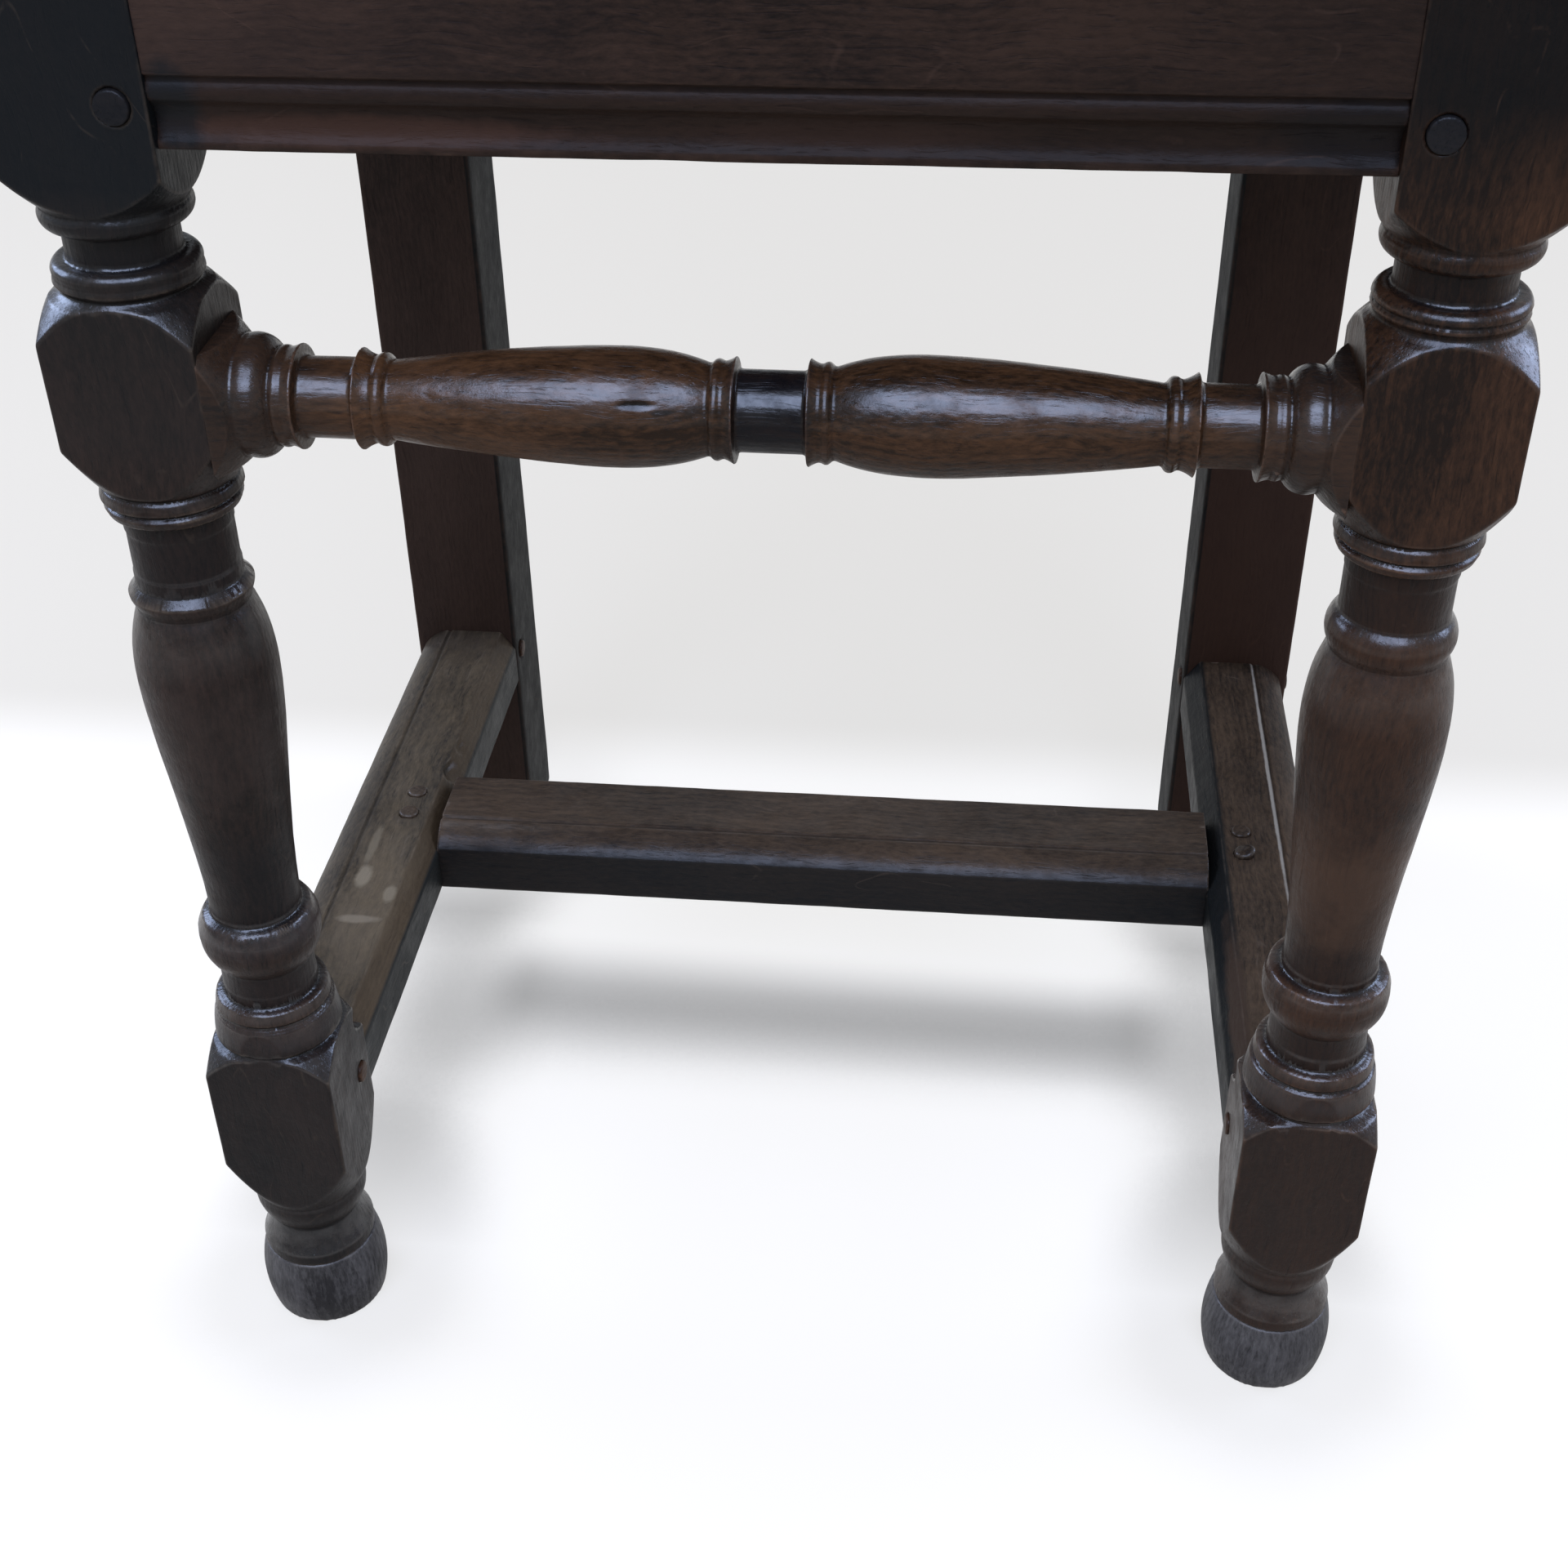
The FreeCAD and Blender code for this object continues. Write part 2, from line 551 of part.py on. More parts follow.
def back_post_outline():
    """Side view of a back post: upright to the knee, then raked and tapered."""
    lean = math.radians(RAKE_ANGLE)
    rise = BACK_POST_TOP - KNEE
    along_y = math.sin(lean)
    along_z = math.cos(lean)
    top_front = vec(0, BACK_FACE + rise * along_y, KNEE + rise * along_z)
    top_rear = top_front + vec(0, along_z, -along_y) * BACK_POST_TOP_DEPTH
    knee_rear = vec(0, BACK_REAR, KNEE)
    return [vec(0, BACK_FACE, 0), vec(0, BACK_FACE, KNEE), top_front, top_rear, knee_rear, vec(0, BACK_REAR, 0)]


CREST_Y = BACK_FACE + BACK_POST_TOP_DEPTH / 2
CREST_JOINT = (2, BACK_POST_TOP, BACK_POST_TOP + CREST_TENON_HEIGHT,
               (around(BACK_POST_X, CREST_TENON_WIDTH), around(CREST_Y, TENON_THICKNESS)))


LOWER_RAIL_TOP = LOWER_RAIL_BOTTOM + LOWER_RAIL_HEIGHT
MIDDLE_RAIL_TOP = MIDDLE_RAIL_BOTTOM + MIDDLE_RAIL_HEIGHT
# the tenons keep clear of the panel grooves
LOWER_TENON_SPAN = (LOWER_RAIL_BOTTOM + TENON_SHOULDER, LOWER_RAIL_TOP - PANEL_GROOVE_DEPTH)
MIDDLE_TENON_SPAN = (MIDDLE_RAIL_BOTTOM + PANEL_GROOVE_DEPTH, MIDDLE_RAIL_TOP - PANEL_GROOVE_DEPTH)
LOWER_RAIL_JOINT = cross_joint(PANEL_Y, LOWER_TENON_SPAN)
MIDDLE_RAIL_JOINT = cross_joint(PANEL_Y, MIDDLE_TENON_SPAN)


def panel_groove(x_range, z_range):
    """A groove for the panels, in rails, posts and crest alike."""
    return block(x_range, around(PANEL_Y, PANEL_GROOVE_WIDTH), z_range)


def back_seat_pegs():
    """Pegs of the back seat rail, driven from the rear face of the post."""
    length = BACK_REAR - BACK_RAIL_Y + TENON_THICKNESS / 2 + PEG_PAST_TENON
    heights = (RAIL_PEG_LOW, RAIL_PEG_HIGH)
    start_x = INNER_X + PEG_INSET
    return [(vec(start_x, BACK_REAR, z), Y_AXIS * -1, length, PEG_RADIUS) for z in heights]


def back_frame_pegs():
    """Pegs of the raked back, driven from the front, before the rake."""
    length = PANEL_Y - BACK_FACE + TENON_THICKNESS / 2 + PEG_PAST_TENON
    rail_x = INNER_X + PEG_INSET
    low, high = LOWER_TENON_SPAN
    pair = (high - low) * PAIR_PEG_SHARE
    middle = (MIDDLE_TENON_SPAN[0] + MIDDLE_TENON_SPAN[1]) / 2
    crest = BACK_POST_TOP + CREST_TENON_HEIGHT / 2
    places = [(rail_x, low + pair), (rail_x, high - pair), (rail_x, middle), (BACK_POST_X, crest)]
    return [(vec(x, BACK_FACE, z), Y_AXIS, length, SMALL_PEG_RADIUS) for x, z in places]


def lower_back_post_pegs():
    pegs = seat_rail_pegs_side(BACK_JOINT_Y, INNER_X + BACK_POST_WIDTH)
    return pegs + side_stretcher_pegs(BACK_JOINT_Y, INNER_X + BACK_POST_WIDTH) + back_seat_pegs()


def back_post():
    post = prism(back_post_outline(), X_AXIS, BACK_POST_WIDTH)
    post.translate(vec(INNER_X, 0, 0))
    post = housed(post, [BACK_RAIL_JOINT, SIDE_RAIL_JOINTS[1], SIDE_STRETCHER_JOINTS[1]])
    post = drill(post, lower_back_post_pegs())
    post = post.fuse(raked(tongue(*CREST_JOINT)))
    for joint in (LOWER_RAIL_JOINT, MIDDLE_RAIL_JOINT):
        post = post.cut(raked(mortise(*joint)))
    groove_x = (INNER_X - OVERRUN, INNER_X + PANEL_GROOVE_DEPTH)
    groove_z = (LOWER_RAIL_TOP - PANEL_GROOVE_DEPTH, BACK_POST_TOP + OVERRUN)
    post = post.cut(raked(panel_groove(groove_x, groove_z)))
    for placed in back_frame_pegs():
        post = post.cut(raked(peg_hole(*placed)))
    return post.removeSplitter()


# Seat rails

def moulded_rail_outline():
    """Section of a seat rail, its face toward -Y: a flat, a quirk, a bead, a cove and a lip."""
    face = -RAIL_THICKNESS / 2
    rear = RAIL_THICKNESS / 2
    top = SEAT_RAIL_BOTTOM + RAIL_MOULDING_HEIGHT
    places = [vec(0, face + RAIL_MOULDING_DEPTH * inward, top - RAIL_MOULDING_HEIGHT * down)
              for down, inward in MOULDING_SHARES]
    quirk, bead_crown, bead_end, cove_floor, lip = places
    bead = Part.Arc(quirk, bead_crown, bead_end).toShape()
    cove = Part.Arc(bead_end, cove_floor, lip).toShape()
    corners = [lip, vec(0, lip.y, SEAT_RAIL_BOTTOM), vec(0, rear, SEAT_RAIL_BOTTOM),
               vec(0, rear, SEAT_FRAME_TOP), vec(0, face, SEAT_FRAME_TOP), vec(0, face, top), quirk]
    lines = [Part.makeLine(a, b) for a, b in zip(corners, corners[1:])]
    return Part.Face(Part.Wire([bead, cove] + lines))


def moulded_rail(length):
    rail = moulded_rail_outline().extrude(X_AXIS * length)
    rail.translate(vec(-length / 2, 0, 0))
    return rail


def front_seat_rail():
    rail = moulded_rail(2 * INNER_X)
    rail.translate(vec(0, FRONT_RAIL_Y, 0))
    rail = grown(rail, [FRONT_RAIL_JOINT]).fuse(mirrored(tongue(*FRONT_RAIL_JOINT)))
    rail = drill_both(rail, seat_rail_pegs_front())
    return drill(rail, [placed for placed in seat_pegs() if placed[0].y == FRONT_RAIL_Y])


def side_seat_rail():
    rail = moulded_rail(SIDE_RAIL_LENGTH)
    rail.rotate(vec(0, 0, 0), Z_AXIS, 90)
    rail.translate(vec(SIDE_RAIL_X, POST_REAR + SIDE_RAIL_LENGTH / 2, 0))
    rail = grown(rail, SIDE_RAIL_JOINTS)
    pegs = seat_rail_pegs_side(FRONT_JOINT_Y, OUTER_X)
    pegs += seat_rail_pegs_side(BACK_JOINT_Y, INNER_X + BACK_POST_WIDTH)
    pegs += [placed for placed in seat_pegs() if placed[0].x == SIDE_RAIL_X]
    return drill(rail, pegs)


def back_seat_rail():
    span = (-INNER_X, INNER_X)
    rail = block(span, around(BACK_RAIL_Y, RAIL_THICKNESS), (SEAT_RAIL_BOTTOM, SEAT_FRAME_TOP))
    rail = grown(rail, [BACK_RAIL_JOINT]).fuse(mirrored(tongue(*BACK_RAIL_JOINT)))
    rail = drill_both(rail, back_seat_pegs())
    return drill(rail, [placed for placed in seat_pegs() if placed[0].y == BACK_RAIL_Y])


# Stretchers

def front_stretcher_half():
    """Right-hand half of the turned stretcher, from the middle to the shoulder."""
    turning = Turning(0, STRETCHER_NECK_RADIUS)
    turning.line(CENTRE_NECK_HALF, STRETCHER_NECK_RADIUS)
    turning.flange(DISC_WIDTH, STRETCHER_DISC_RADIUS, STRETCHER_VASE_START_RADIUS, True)
    vase_end = turning.at + STRETCHER_VASE_LENGTH
    turning.vase(vase_end, STRETCHER_VASE_RADIUS, STRETCHER_VASE_END_RADIUS, STRETCHER_VASE_SHARES)
    turning.flange(STRETCHER_BEAD_WIDTH, STRETCHER_BEAD_RADIUS, STRETCHER_NECK_RADIUS, False)
    turning.line(turning.at + STRETCHER_NECK_LENGTH, STRETCHER_NECK_RADIUS)
    turning.flange(FIN_WIDTH, STRETCHER_DISC_RADIUS, STRETCHER_QUIRK_RADIUS, True)
    turning.arc(turning.at + BALL_WIDTH * BALL_CROWN_SHARE, STRETCHER_BALL_RADIUS,
                turning.at + BALL_WIDTH, STRETCHER_BALL_FOOT_RADIUS)
    turning.shoulder(INNER_X, STRETCHER_SHOULDER_RADIUS)
    return turning.spin()


def front_stretcher():
    half = front_stretcher_half()
    half.rotate(vec(0, 0, 0), Y_AXIS, 90)
    stock = block((0, INNER_X), around(0, STRETCHER_SQUARE), around(0, STRETCHER_SQUARE))
    half = half.common(stock)
    half.translate(vec(0, STRETCHER_Y, STRETCHER_HEIGHT))
    half = drill(grown(half, [FRONT_STRETCHER_JOINT]), front_stretcher_pegs())
    return half.fuse(mirrored(half)).removeSplitter()


def low_stretcher_outline():
    """Section of a low stretcher, its moulded edge toward -Y: groove, rounded edge, eased arrises."""
    half = LOW_STRETCHER_WIDTH / 2
    top = LOW_STRETCHER_TOP
    bottom = LOW_STRETCHER_BOTTOM
    groove = -half + GROOVE_INSET
    groove_end = groove - GROOVE_WIDTH
    edge = vec(0, -half, top - ROUNDED_EDGE_DROP)
    crown = vec(0, groove_end - (GROOVE_INSET - GROOVE_WIDTH) * ROUNDED_EDGE_SHARE,
                top - ROUNDED_EDGE_DROP * (1 - ROUNDED_EDGE_SHARE))
    rounded = Part.Arc(vec(0, groove_end, top), crown, edge).toShape()
    corners = [edge, vec(0, -half, bottom + ARRIS), vec(0, -half + ARRIS, bottom),
               vec(0, half - ARRIS, bottom), vec(0, half, bottom + ARRIS),
               vec(0, half, top - ARRIS), vec(0, half - ARRIS, top), vec(0, groove, top),
               vec(0, groove - GROOVE_WIDTH / 2, top - GROOVE_DEPTH), vec(0, groove_end, top)]
    lines = [Part.makeLine(a, b) for a, b in zip(corners, corners[1:])]
    return Part.Face(Part.Wire([rounded] + lines))


def low_stretcher(length):
    stretcher = low_stretcher_outline().extrude(X_AXIS * length)
    stretcher.translate(vec(-length / 2, 0, 0))
    return stretcher


def medial_pegs():
    """Two upright pegs through the side stretcher and the medial stretcher's tenon."""
    depth = LOW_STRETCHER_HEIGHT / 2 + MEDIAL_TENON_THICKNESS / 2 + PEG_PAST_TENON / 2
    x = SIDE_STRETCHER_INNER + TENON_LENGTH * MEDIAL_PEG_SHARE
    places = [MEDIAL_Y - MEDIAL_TENON_WIDTH * PAIR_PEG_SHARE, MEDIAL_Y + MEDIAL_TENON_WIDTH * PAIR_PEG_SHARE]
    return [(vec(x, y, LOW_STRETCHER_TOP), Z_AXIS * -1, depth, SMALL_PEG_RADIUS) for y in places]


def side_stretcher():
    stretcher = low_stretcher(SIDE_RAIL_LENGTH)
    stretcher.rotate(vec(0, 0, 0), Z_AXIS, 90)
    stretcher.translate(vec(FRAME_WIDTH / 2, POST_REAR + SIDE_RAIL_LENGTH / 2, 0))
    stretcher = housed(grown(stretcher, SIDE_STRETCHER_JOINTS), [MEDIAL_JOINT])
    pegs = side_stretcher_pegs(FRONT_JOINT_Y, OUTER_X) + side_stretcher_pegs(BACK_JOINT_Y, OUTER_X)
    return drill(stretcher, pegs + medial_pegs())


def medial_stretcher():
    stretcher = low_stretcher(2 * SIDE_STRETCHER_INNER)
    stretcher.translate(vec(0, MEDIAL_Y, 0))
    stretcher = grown(stretcher, [MEDIAL_JOINT]).fuse(mirrored(tongue(*MEDIAL_JOINT)))
    return drill_both(stretcher, medial_pegs())


# Seat boards

SEAT_HALF_WIDTH = OUTER_X + SEAT_OVERHANG
SEAT_FRONT = POST_FRONT - SEAT_OVERHANG
SEAT_JOINT_Y = SEAT_FRONT + FRONT_BOARD_WIDTH
SEAT_BACK = BACK_REAR - RAIL_SETBACK - SEAT_BACK_MARGIN


def seat_pegs():
    """Upright pegs that hold the boards down to the rails, both sides of the chair."""
    depth = SEAT_THICKNESS + SEAT_PEG_DEPTH
    side_ys = (FRONT_POST_Y + SIDE_PEG_FRONT, FRONT_POST_Y + SIDE_PEG_REAR)
    places = [(SEAT_PEG_X, FRONT_RAIL_Y), (-SEAT_PEG_X, FRONT_RAIL_Y)]
    places += [(SEAT_PEG_X, BACK_RAIL_Y), (-SEAT_PEG_X, BACK_RAIL_Y)]
    places += [(side * SIDE_RAIL_X, y) for side in (1, -1) for y in side_ys]
    return [(vec(x, y, SEAT_TOP), Z_AXIS * -1, depth, SMALL_PEG_RADIUS) for x, y in places]


def seat_blank():
    """The whole seat as one slab with its front and sides rounded over."""
    slab = block((-SEAT_HALF_WIDTH, SEAT_HALF_WIDTH), (SEAT_FRONT, BACK_FACE), (SEAT_FRAME_TOP, SEAT_TOP))
    upper, lower = [], []
    for edge in slab.Edges:
        centre = edge.CenterOfMass
        if edge.BoundBox.ZLength > SEAT_THICKNESS / 2 or centre.y > BACK_FACE - OVERRUN:
            continue
        (upper if centre.z > SEAT_TOP - SEAT_THICKNESS / 2 else lower).append(edge)
    slab = slab.makeFillet(SEAT_TOP_ROUND, upper)
    edges = [edge for edge in slab.Edges if edge.BoundBox.ZMax < SEAT_FRAME_TOP + CHEEK_CLEARANCE
             and edge.CenterOfMass.y < BACK_FACE - OVERRUN]
    return slab.makeFillet(SEAT_BOTTOM_ROUND, edges)


def seat_tongue(clearance):
    """The tongue on the rear board, or with a clearance the groove in the front board."""
    middle = SEAT_FRAME_TOP + SEAT_THICKNESS / 2
    x_range = (-SEAT_HALF_WIDTH - clearance, SEAT_HALF_WIDTH + clearance)
    y_range = (SEAT_JOINT_Y - SEAT_TONGUE_LENGTH - clearance, SEAT_JOINT_Y + clearance)
    return block(x_range, y_range, wider(around(middle, SEAT_TONGUE_THICKNESS), clearance))


def seat_board_front():
    keep = block((-SEAT_HALF_WIDTH, SEAT_HALF_WIDTH), (SEAT_FRONT, SEAT_JOINT_Y), (SEAT_FRAME_TOP, SEAT_TOP))
    board = seat_blank().common(keep).cut(seat_tongue(CHEEK_CLEARANCE))
    return drill(board, seat_pegs())


def seat_board_rear():
    keep = block((-SEAT_HALF_WIDTH, SEAT_HALF_WIDTH), (SEAT_JOINT_Y, BACK_FACE), (SEAT_FRAME_TOP, SEAT_TOP))
    board = seat_blank().common(keep)
    board = board.fuse(seat_tongue(0).common(seat_blank()))
    between = INNER_X - CHEEK_CLEARANCE
    tail = block((-between, between), (BACK_FACE, SEAT_BACK), (SEAT_FRAME_TOP, SEAT_TOP))
    return drill(board.fuse(tail).removeSplitter(), seat_pegs())


# Back frame

def back_rail(bottom, top, joint):
    """A rail of the back before the rake, with a groove in each edge that its tenon keeps clear of."""
    rail = block((-INNER_X, INNER_X), around(PANEL_Y, BACK_RAIL_THICKNESS), (bottom, top))
    front_edges = [edge for edge in rail.Edges if edge.BoundBox.XLength > INNER_X
                   and edge.CenterOfMass.y < PANEL_Y]
    rail = rail.makeChamfer(BACK_RAIL_CHAMFER, front_edges)
    between_posts = (-INNER_X - OVERRUN, INNER_X + OVERRUN)
    rail = rail.cut(panel_groove(between_posts, (top - PANEL_GROOVE_DEPTH, top + OVERRUN)))
    if joint is MIDDLE_RAIL_JOINT:
        rail = rail.cut(panel_groove(between_posts, (bottom - OVERRUN, bottom + PANEL_GROOVE_DEPTH)))
    rail = grown(rail, [joint]).fuse(mirrored(tongue(*joint)))
    pegs = [placed for placed in back_frame_pegs() if bottom < placed[0].z < top]
    return raked(drill_both(rail, pegs))


def back_panel(bottom, top):
    """A fielded panel: a bevelled margin rises to a flat field, and the thin edge sits in the grooves."""
    reach = PANEL_GROOVE_DEPTH - PANEL_PLAY
    half_width = INNER_X + reach
    z_range = (bottom - reach, top + reach)
    rear = PANEL_Y + PANEL_EDGE_THICKNESS / 2
    front = PANEL_Y - PANEL_EDGE_THICKNESS / 2
    edge = block((-half_width, half_width), (front, rear), z_range)
    # the bevel narrows by the same margin on all four sides as it rises toward the front
    margin = PANEL_MARGIN
    bevel = Part.makeWedge(-INNER_X + PANEL_PLAY, -PANEL_FIELD_RISE, bottom + PANEL_PLAY,
                           bottom + margin, -INNER_X + margin,
                           INNER_X - PANEL_PLAY, 0, top - PANEL_PLAY,
                           top - margin, INNER_X - margin)
    bevel = bevel.mirror(vec(0, -PANEL_FIELD_RISE / 2, 0), Y_AXIS)
    bevel.translate(vec(0, front, 0))
    return raked(edge.fuse(bevel).removeSplitter())


def crest_outline():
    """Front view of the crest: low ears, a dip beside each, and a round arch in the middle."""
    half = BACK_POST_X + BACK_POST_WIDTH / 2 + CREST_OVERHANG
    low = BACK_POST_TOP
    ear = low + CREST_EAR_HEIGHT
    swell = CREST_EAR_HEIGHT * CREST_ROUND_SHARE
    waist = low + CREST_HEIGHT * CREST_WAIST_SHARE
    dip_x = half * CREST_DIP_SHARE
    arch_x = half * CREST_ARCH_SHARE
    ear_top = Part.Arc(vec(half, 0, ear), vec((half + dip_x) / 2, 0, ear + swell), vec(dip_x, 0, ear))
    dip = Part.Arc(vec(dip_x, 0, ear), vec((dip_x + arch_x) / 2, 0, ear - swell), vec(arch_x, 0, waist))
    right_side = [Part.makeLine(vec(half, 0, low), vec(half, 0, ear)), ear_top.toShape(), dip.toShape()]
    left_side = [mirrored(edge) for edge in reversed(right_side)]
    arch = Part.Arc(vec(arch_x, 0, waist), vec(0, 0, CREST_TOP), vec(-arch_x, 0, waist)).toShape()
    bottom = Part.makeLine(vec(-half, 0, low), vec(half, 0, low))
    return Part.Face(Part.Wire(Part.__sortEdges__(right_side + [arch] + left_side + [bottom])))


def crest_rail():
    crest = crest_outline().extrude(Y_AXIS * CREST_THICKNESS)
    crest.translate(vec(0, BACK_FACE, 0))
    crest = housed(crest, [CREST_JOINT])
    crest = mirrored(housed(mirrored(crest), [CREST_JOINT]))
    groove = panel_groove((-INNER_X - PANEL_GROOVE_DEPTH, INNER_X + PANEL_GROOVE_DEPTH),
                          (BACK_POST_TOP - OVERRUN, BACK_POST_TOP + CREST_GROOVE_RISE))
    crest = crest.cut(groove)
    pegs = [placed for placed in back_frame_pegs() if placed[0].z > BACK_POST_TOP]
    return raked(drill_both(crest, pegs))


# Pegs, one node for each kind of joint

def peg_group(placed_pegs, both_sides=True, lean=False):
    solids = [peg(*placed) for placed in placed_pegs]
    if both_sides:
        solids += [mirrored(solid) for solid in solids]
    if lean:
        solids = [raked(solid) for solid in solids]
    return Part.makeCompound(solids)


def peg_groups():
    side_rail = seat_rail_pegs_side(FRONT_JOINT_Y, OUTER_X)
    side_rail += seat_rail_pegs_side(BACK_JOINT_Y, INNER_X + BACK_POST_WIDTH)
    low = side_stretcher_pegs(FRONT_JOINT_Y, OUTER_X)
    low += side_stretcher_pegs(BACK_JOINT_Y, INNER_X + BACK_POST_WIDTH)
    return {
        "front_rail_pegs": peg_group(seat_rail_pegs_front()),
        "side_rail_pegs": peg_group(side_rail),
        "back_rail_pegs": peg_group(back_seat_pegs()),
        "front_stretcher_pegs": peg_group(front_stretcher_pegs()),
        "side_stretcher_pegs": peg_group(low),
        "medial_stretcher_pegs": peg_group(medial_pegs()),
        "back_frame_pegs": peg_group(back_frame_pegs(), lean=True),
        "seat_pegs": peg_group(seat_pegs(), both_sides=False),
    }


def pieces():
    """Every node of the chair by name."""
    nodes = {}
    handed = {
        "front_post": front_post(),
        "front_foot": front_foot(),
        "back_post": back_post(),
        "side_seat_rail": side_seat_rail(),
        "side_stretcher": side_stretcher(),
    }
    for name, shape in handed.items():
        nodes[name + "_right"] = shape
        nodes[name + "_left"] = mirrored(shape)
    nodes["front_seat_rail"] = front_seat_rail()
    nodes["back_seat_rail"] = back_seat_rail()
    nodes["front_stretcher"] = front_stretcher()
    nodes["medial_stretcher"] = medial_stretcher()
    nodes["seat_board_front"] = seat_board_front()
    nodes["seat_board_rear"] = seat_board_rear()
    nodes["back_lower_rail"] = back_rail(LOWER_RAIL_BOTTOM, LOWER_RAIL_TOP, LOWER_RAIL_JOINT)
    nodes["back_middle_rail"] = back_rail(MIDDLE_RAIL_BOTTOM, MIDDLE_RAIL_TOP, MIDDLE_RAIL_JOINT)
    nodes["crest_rail"] = crest_rail()
    nodes["back_panel_lower"] = back_panel(LOWER_RAIL_TOP, MIDDLE_RAIL_BOTTOM)
    nodes["back_panel_upper"] = back_panel(MIDDLE_RAIL_TOP, BACK_POST_TOP)
    nodes.update(peg_groups())
    return nodes


os.makedirs("parts", exist_ok=True)
for node_name, node_shape in pieces().items():
    node_shape.exportStep("parts/" + node_name + ".step")
    print(node_name, len(node_shape.Solids), node_shape.isValid(), round(node_shape.Volume))
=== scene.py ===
# %% [markdown]
# # A joined wainscot chair of old waxed oak
#
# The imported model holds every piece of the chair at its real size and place, as a joiner set it out:
# turned posts, moulded rails, pegged joints. What it lacks is age. Its arrises are as sharp as on the
# day they were planed, and its surfaces have no grain. This lesson gives each piece its two or three
# centuries: arrises eased by hands and boots, faces that are not quite flat, chips where something
# once struck, and dark waxed oak whose grain runs the way the joiner cut it.

import math

import bpy
import numpy as np
from mathutils import Matrix, Vector


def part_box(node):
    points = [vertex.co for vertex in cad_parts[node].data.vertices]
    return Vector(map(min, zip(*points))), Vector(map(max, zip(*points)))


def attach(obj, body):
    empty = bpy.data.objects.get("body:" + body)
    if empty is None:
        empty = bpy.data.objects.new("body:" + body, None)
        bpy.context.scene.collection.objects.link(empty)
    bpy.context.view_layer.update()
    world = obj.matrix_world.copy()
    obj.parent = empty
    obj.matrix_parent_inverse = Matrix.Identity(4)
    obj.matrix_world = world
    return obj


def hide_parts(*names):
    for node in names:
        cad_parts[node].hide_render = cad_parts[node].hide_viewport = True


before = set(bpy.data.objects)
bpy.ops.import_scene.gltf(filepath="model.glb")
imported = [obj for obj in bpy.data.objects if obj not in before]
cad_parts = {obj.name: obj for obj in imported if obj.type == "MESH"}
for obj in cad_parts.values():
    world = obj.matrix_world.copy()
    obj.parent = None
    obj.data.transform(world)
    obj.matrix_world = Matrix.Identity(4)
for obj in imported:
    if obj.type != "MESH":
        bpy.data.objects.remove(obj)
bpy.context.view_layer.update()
MM = 0.001

# %% [markdown]
# ## The camera
#
# The photograph was taken close up and looks down on the stretchers, so the front posts lean apart
# like the legs of an easel. A camera could be nudged about until the picture looks right, but lines
# that are straight and square on the real chair fix it exactly: the posts' edges, the rail and the
# low stretchers give its place, its three angles and its lens. It takes a square picture.

# %% Place the camera
CAMERA_PLACE = Vector((0.05786, -0.70935, 0.63493))
CAMERA_LENS = 48.07          # millimetres
CAMERA_SENSOR = 36.0         # millimetres across
CAMERA_NEAR = 0.01
CAMERA_TURN = 5.976          # degrees to the left of straight ahead
CAMERA_PITCH = 35.437        # degrees below level
CAMERA_ROLL = -0.739         # degrees about the line of sight

camera_data = bpy.data.cameras.new("camera")
camera_data.lens = CAMERA_LENS
camera_data.sensor_fit = "HORIZONTAL"
camera_data.sensor_width = CAMERA_SENSOR
camera_data.clip_start = CAMERA_NEAR
camera = bpy.data.objects.new("camera", camera_data)
bpy.context.scene.collection.objects.link(camera)
turn = Matrix.Rotation(math.radians(CAMERA_TURN), 4, "Z")
tilt = Matrix.Rotation(math.radians(90 - CAMERA_PITCH), 4, "X")
roll = Matrix.Rotation(math.radians(CAMERA_ROLL), 4, "Z")
camera.matrix_world = Matrix.Translation(CAMERA_PLACE) @ turn @ tilt @ roll
bpy.context.scene.camera = camera
print("camera", round(CAMERA_PLACE.length, 3), "m from the middle of the footprint")

# %% [markdown]
# ## Colours and nodes
#
# Every finish below is built from nodes. Colours are written as the hex values one reads off a
# screen, but a shader wants linear light, so one function turns them. A second one adds a node and
# sets it up: what it is given for an input is either a value or another node's socket, and a socket
# is linked. In the shader editor one would draw these lines by hand, and a recipe written down can be
# used again for the next run of wood.

# %% One function for colours and one for nodes
def linear(hex_colour):
    """An sRGB hex colour as linear red, green and blue, with full alpha."""
    channels = [int(hex_colour[start:start + 2], 16) / 255 for start in (1, 3, 5)]
    return [c / 12.92 if c <= 0.04045 else ((c + 0.055) / 1.055) ** 2.4 for c in channels] + [1.0]


def grey(value):
    """A linear grey."""
    return (value, value, value, 1.0)


def add(tree, kind, settings, stops=()):
    """Adds a node. Settings are its properties and its inputs, as values or sockets. Stops fill a ramp."""
    new = tree.nodes.new(kind)
    for key, value in settings.items():
        if isinstance(value, bpy.types.NodeSocket):
            tree.links.new(value, new.inputs[key])
        elif isinstance(key, str) and hasattr(new, key):
            setattr(new, key, value)
        else:
            new.inputs[key].default_value = value
    for index, (place, colour) in enumerate(stops):
        ramp = new.color_ramp.elements
        stop = ramp[index] if index < 2 else ramp.new(place)
        stop.position = place
        stop.color = colour
    return new


# %% [markdown]
# Five kinds of node come back all the time, so each gets a short word that returns its result: a sum
# with numbers, a sum with vectors, a stretch of values mapped to another, a blend of two colours, and
# a noise whose patches have a size in metres. Two more split a vector and empty a node tree.

# %% Short words for common nodes
def calc(tree, operation, *terms, clamp=False):
    """The result of a sum with numbers."""
    settings = {"operation": operation, "use_clamp": clamp, **dict(enumerate(terms))}
    return add(tree, "ShaderNodeMath", settings).outputs[0]


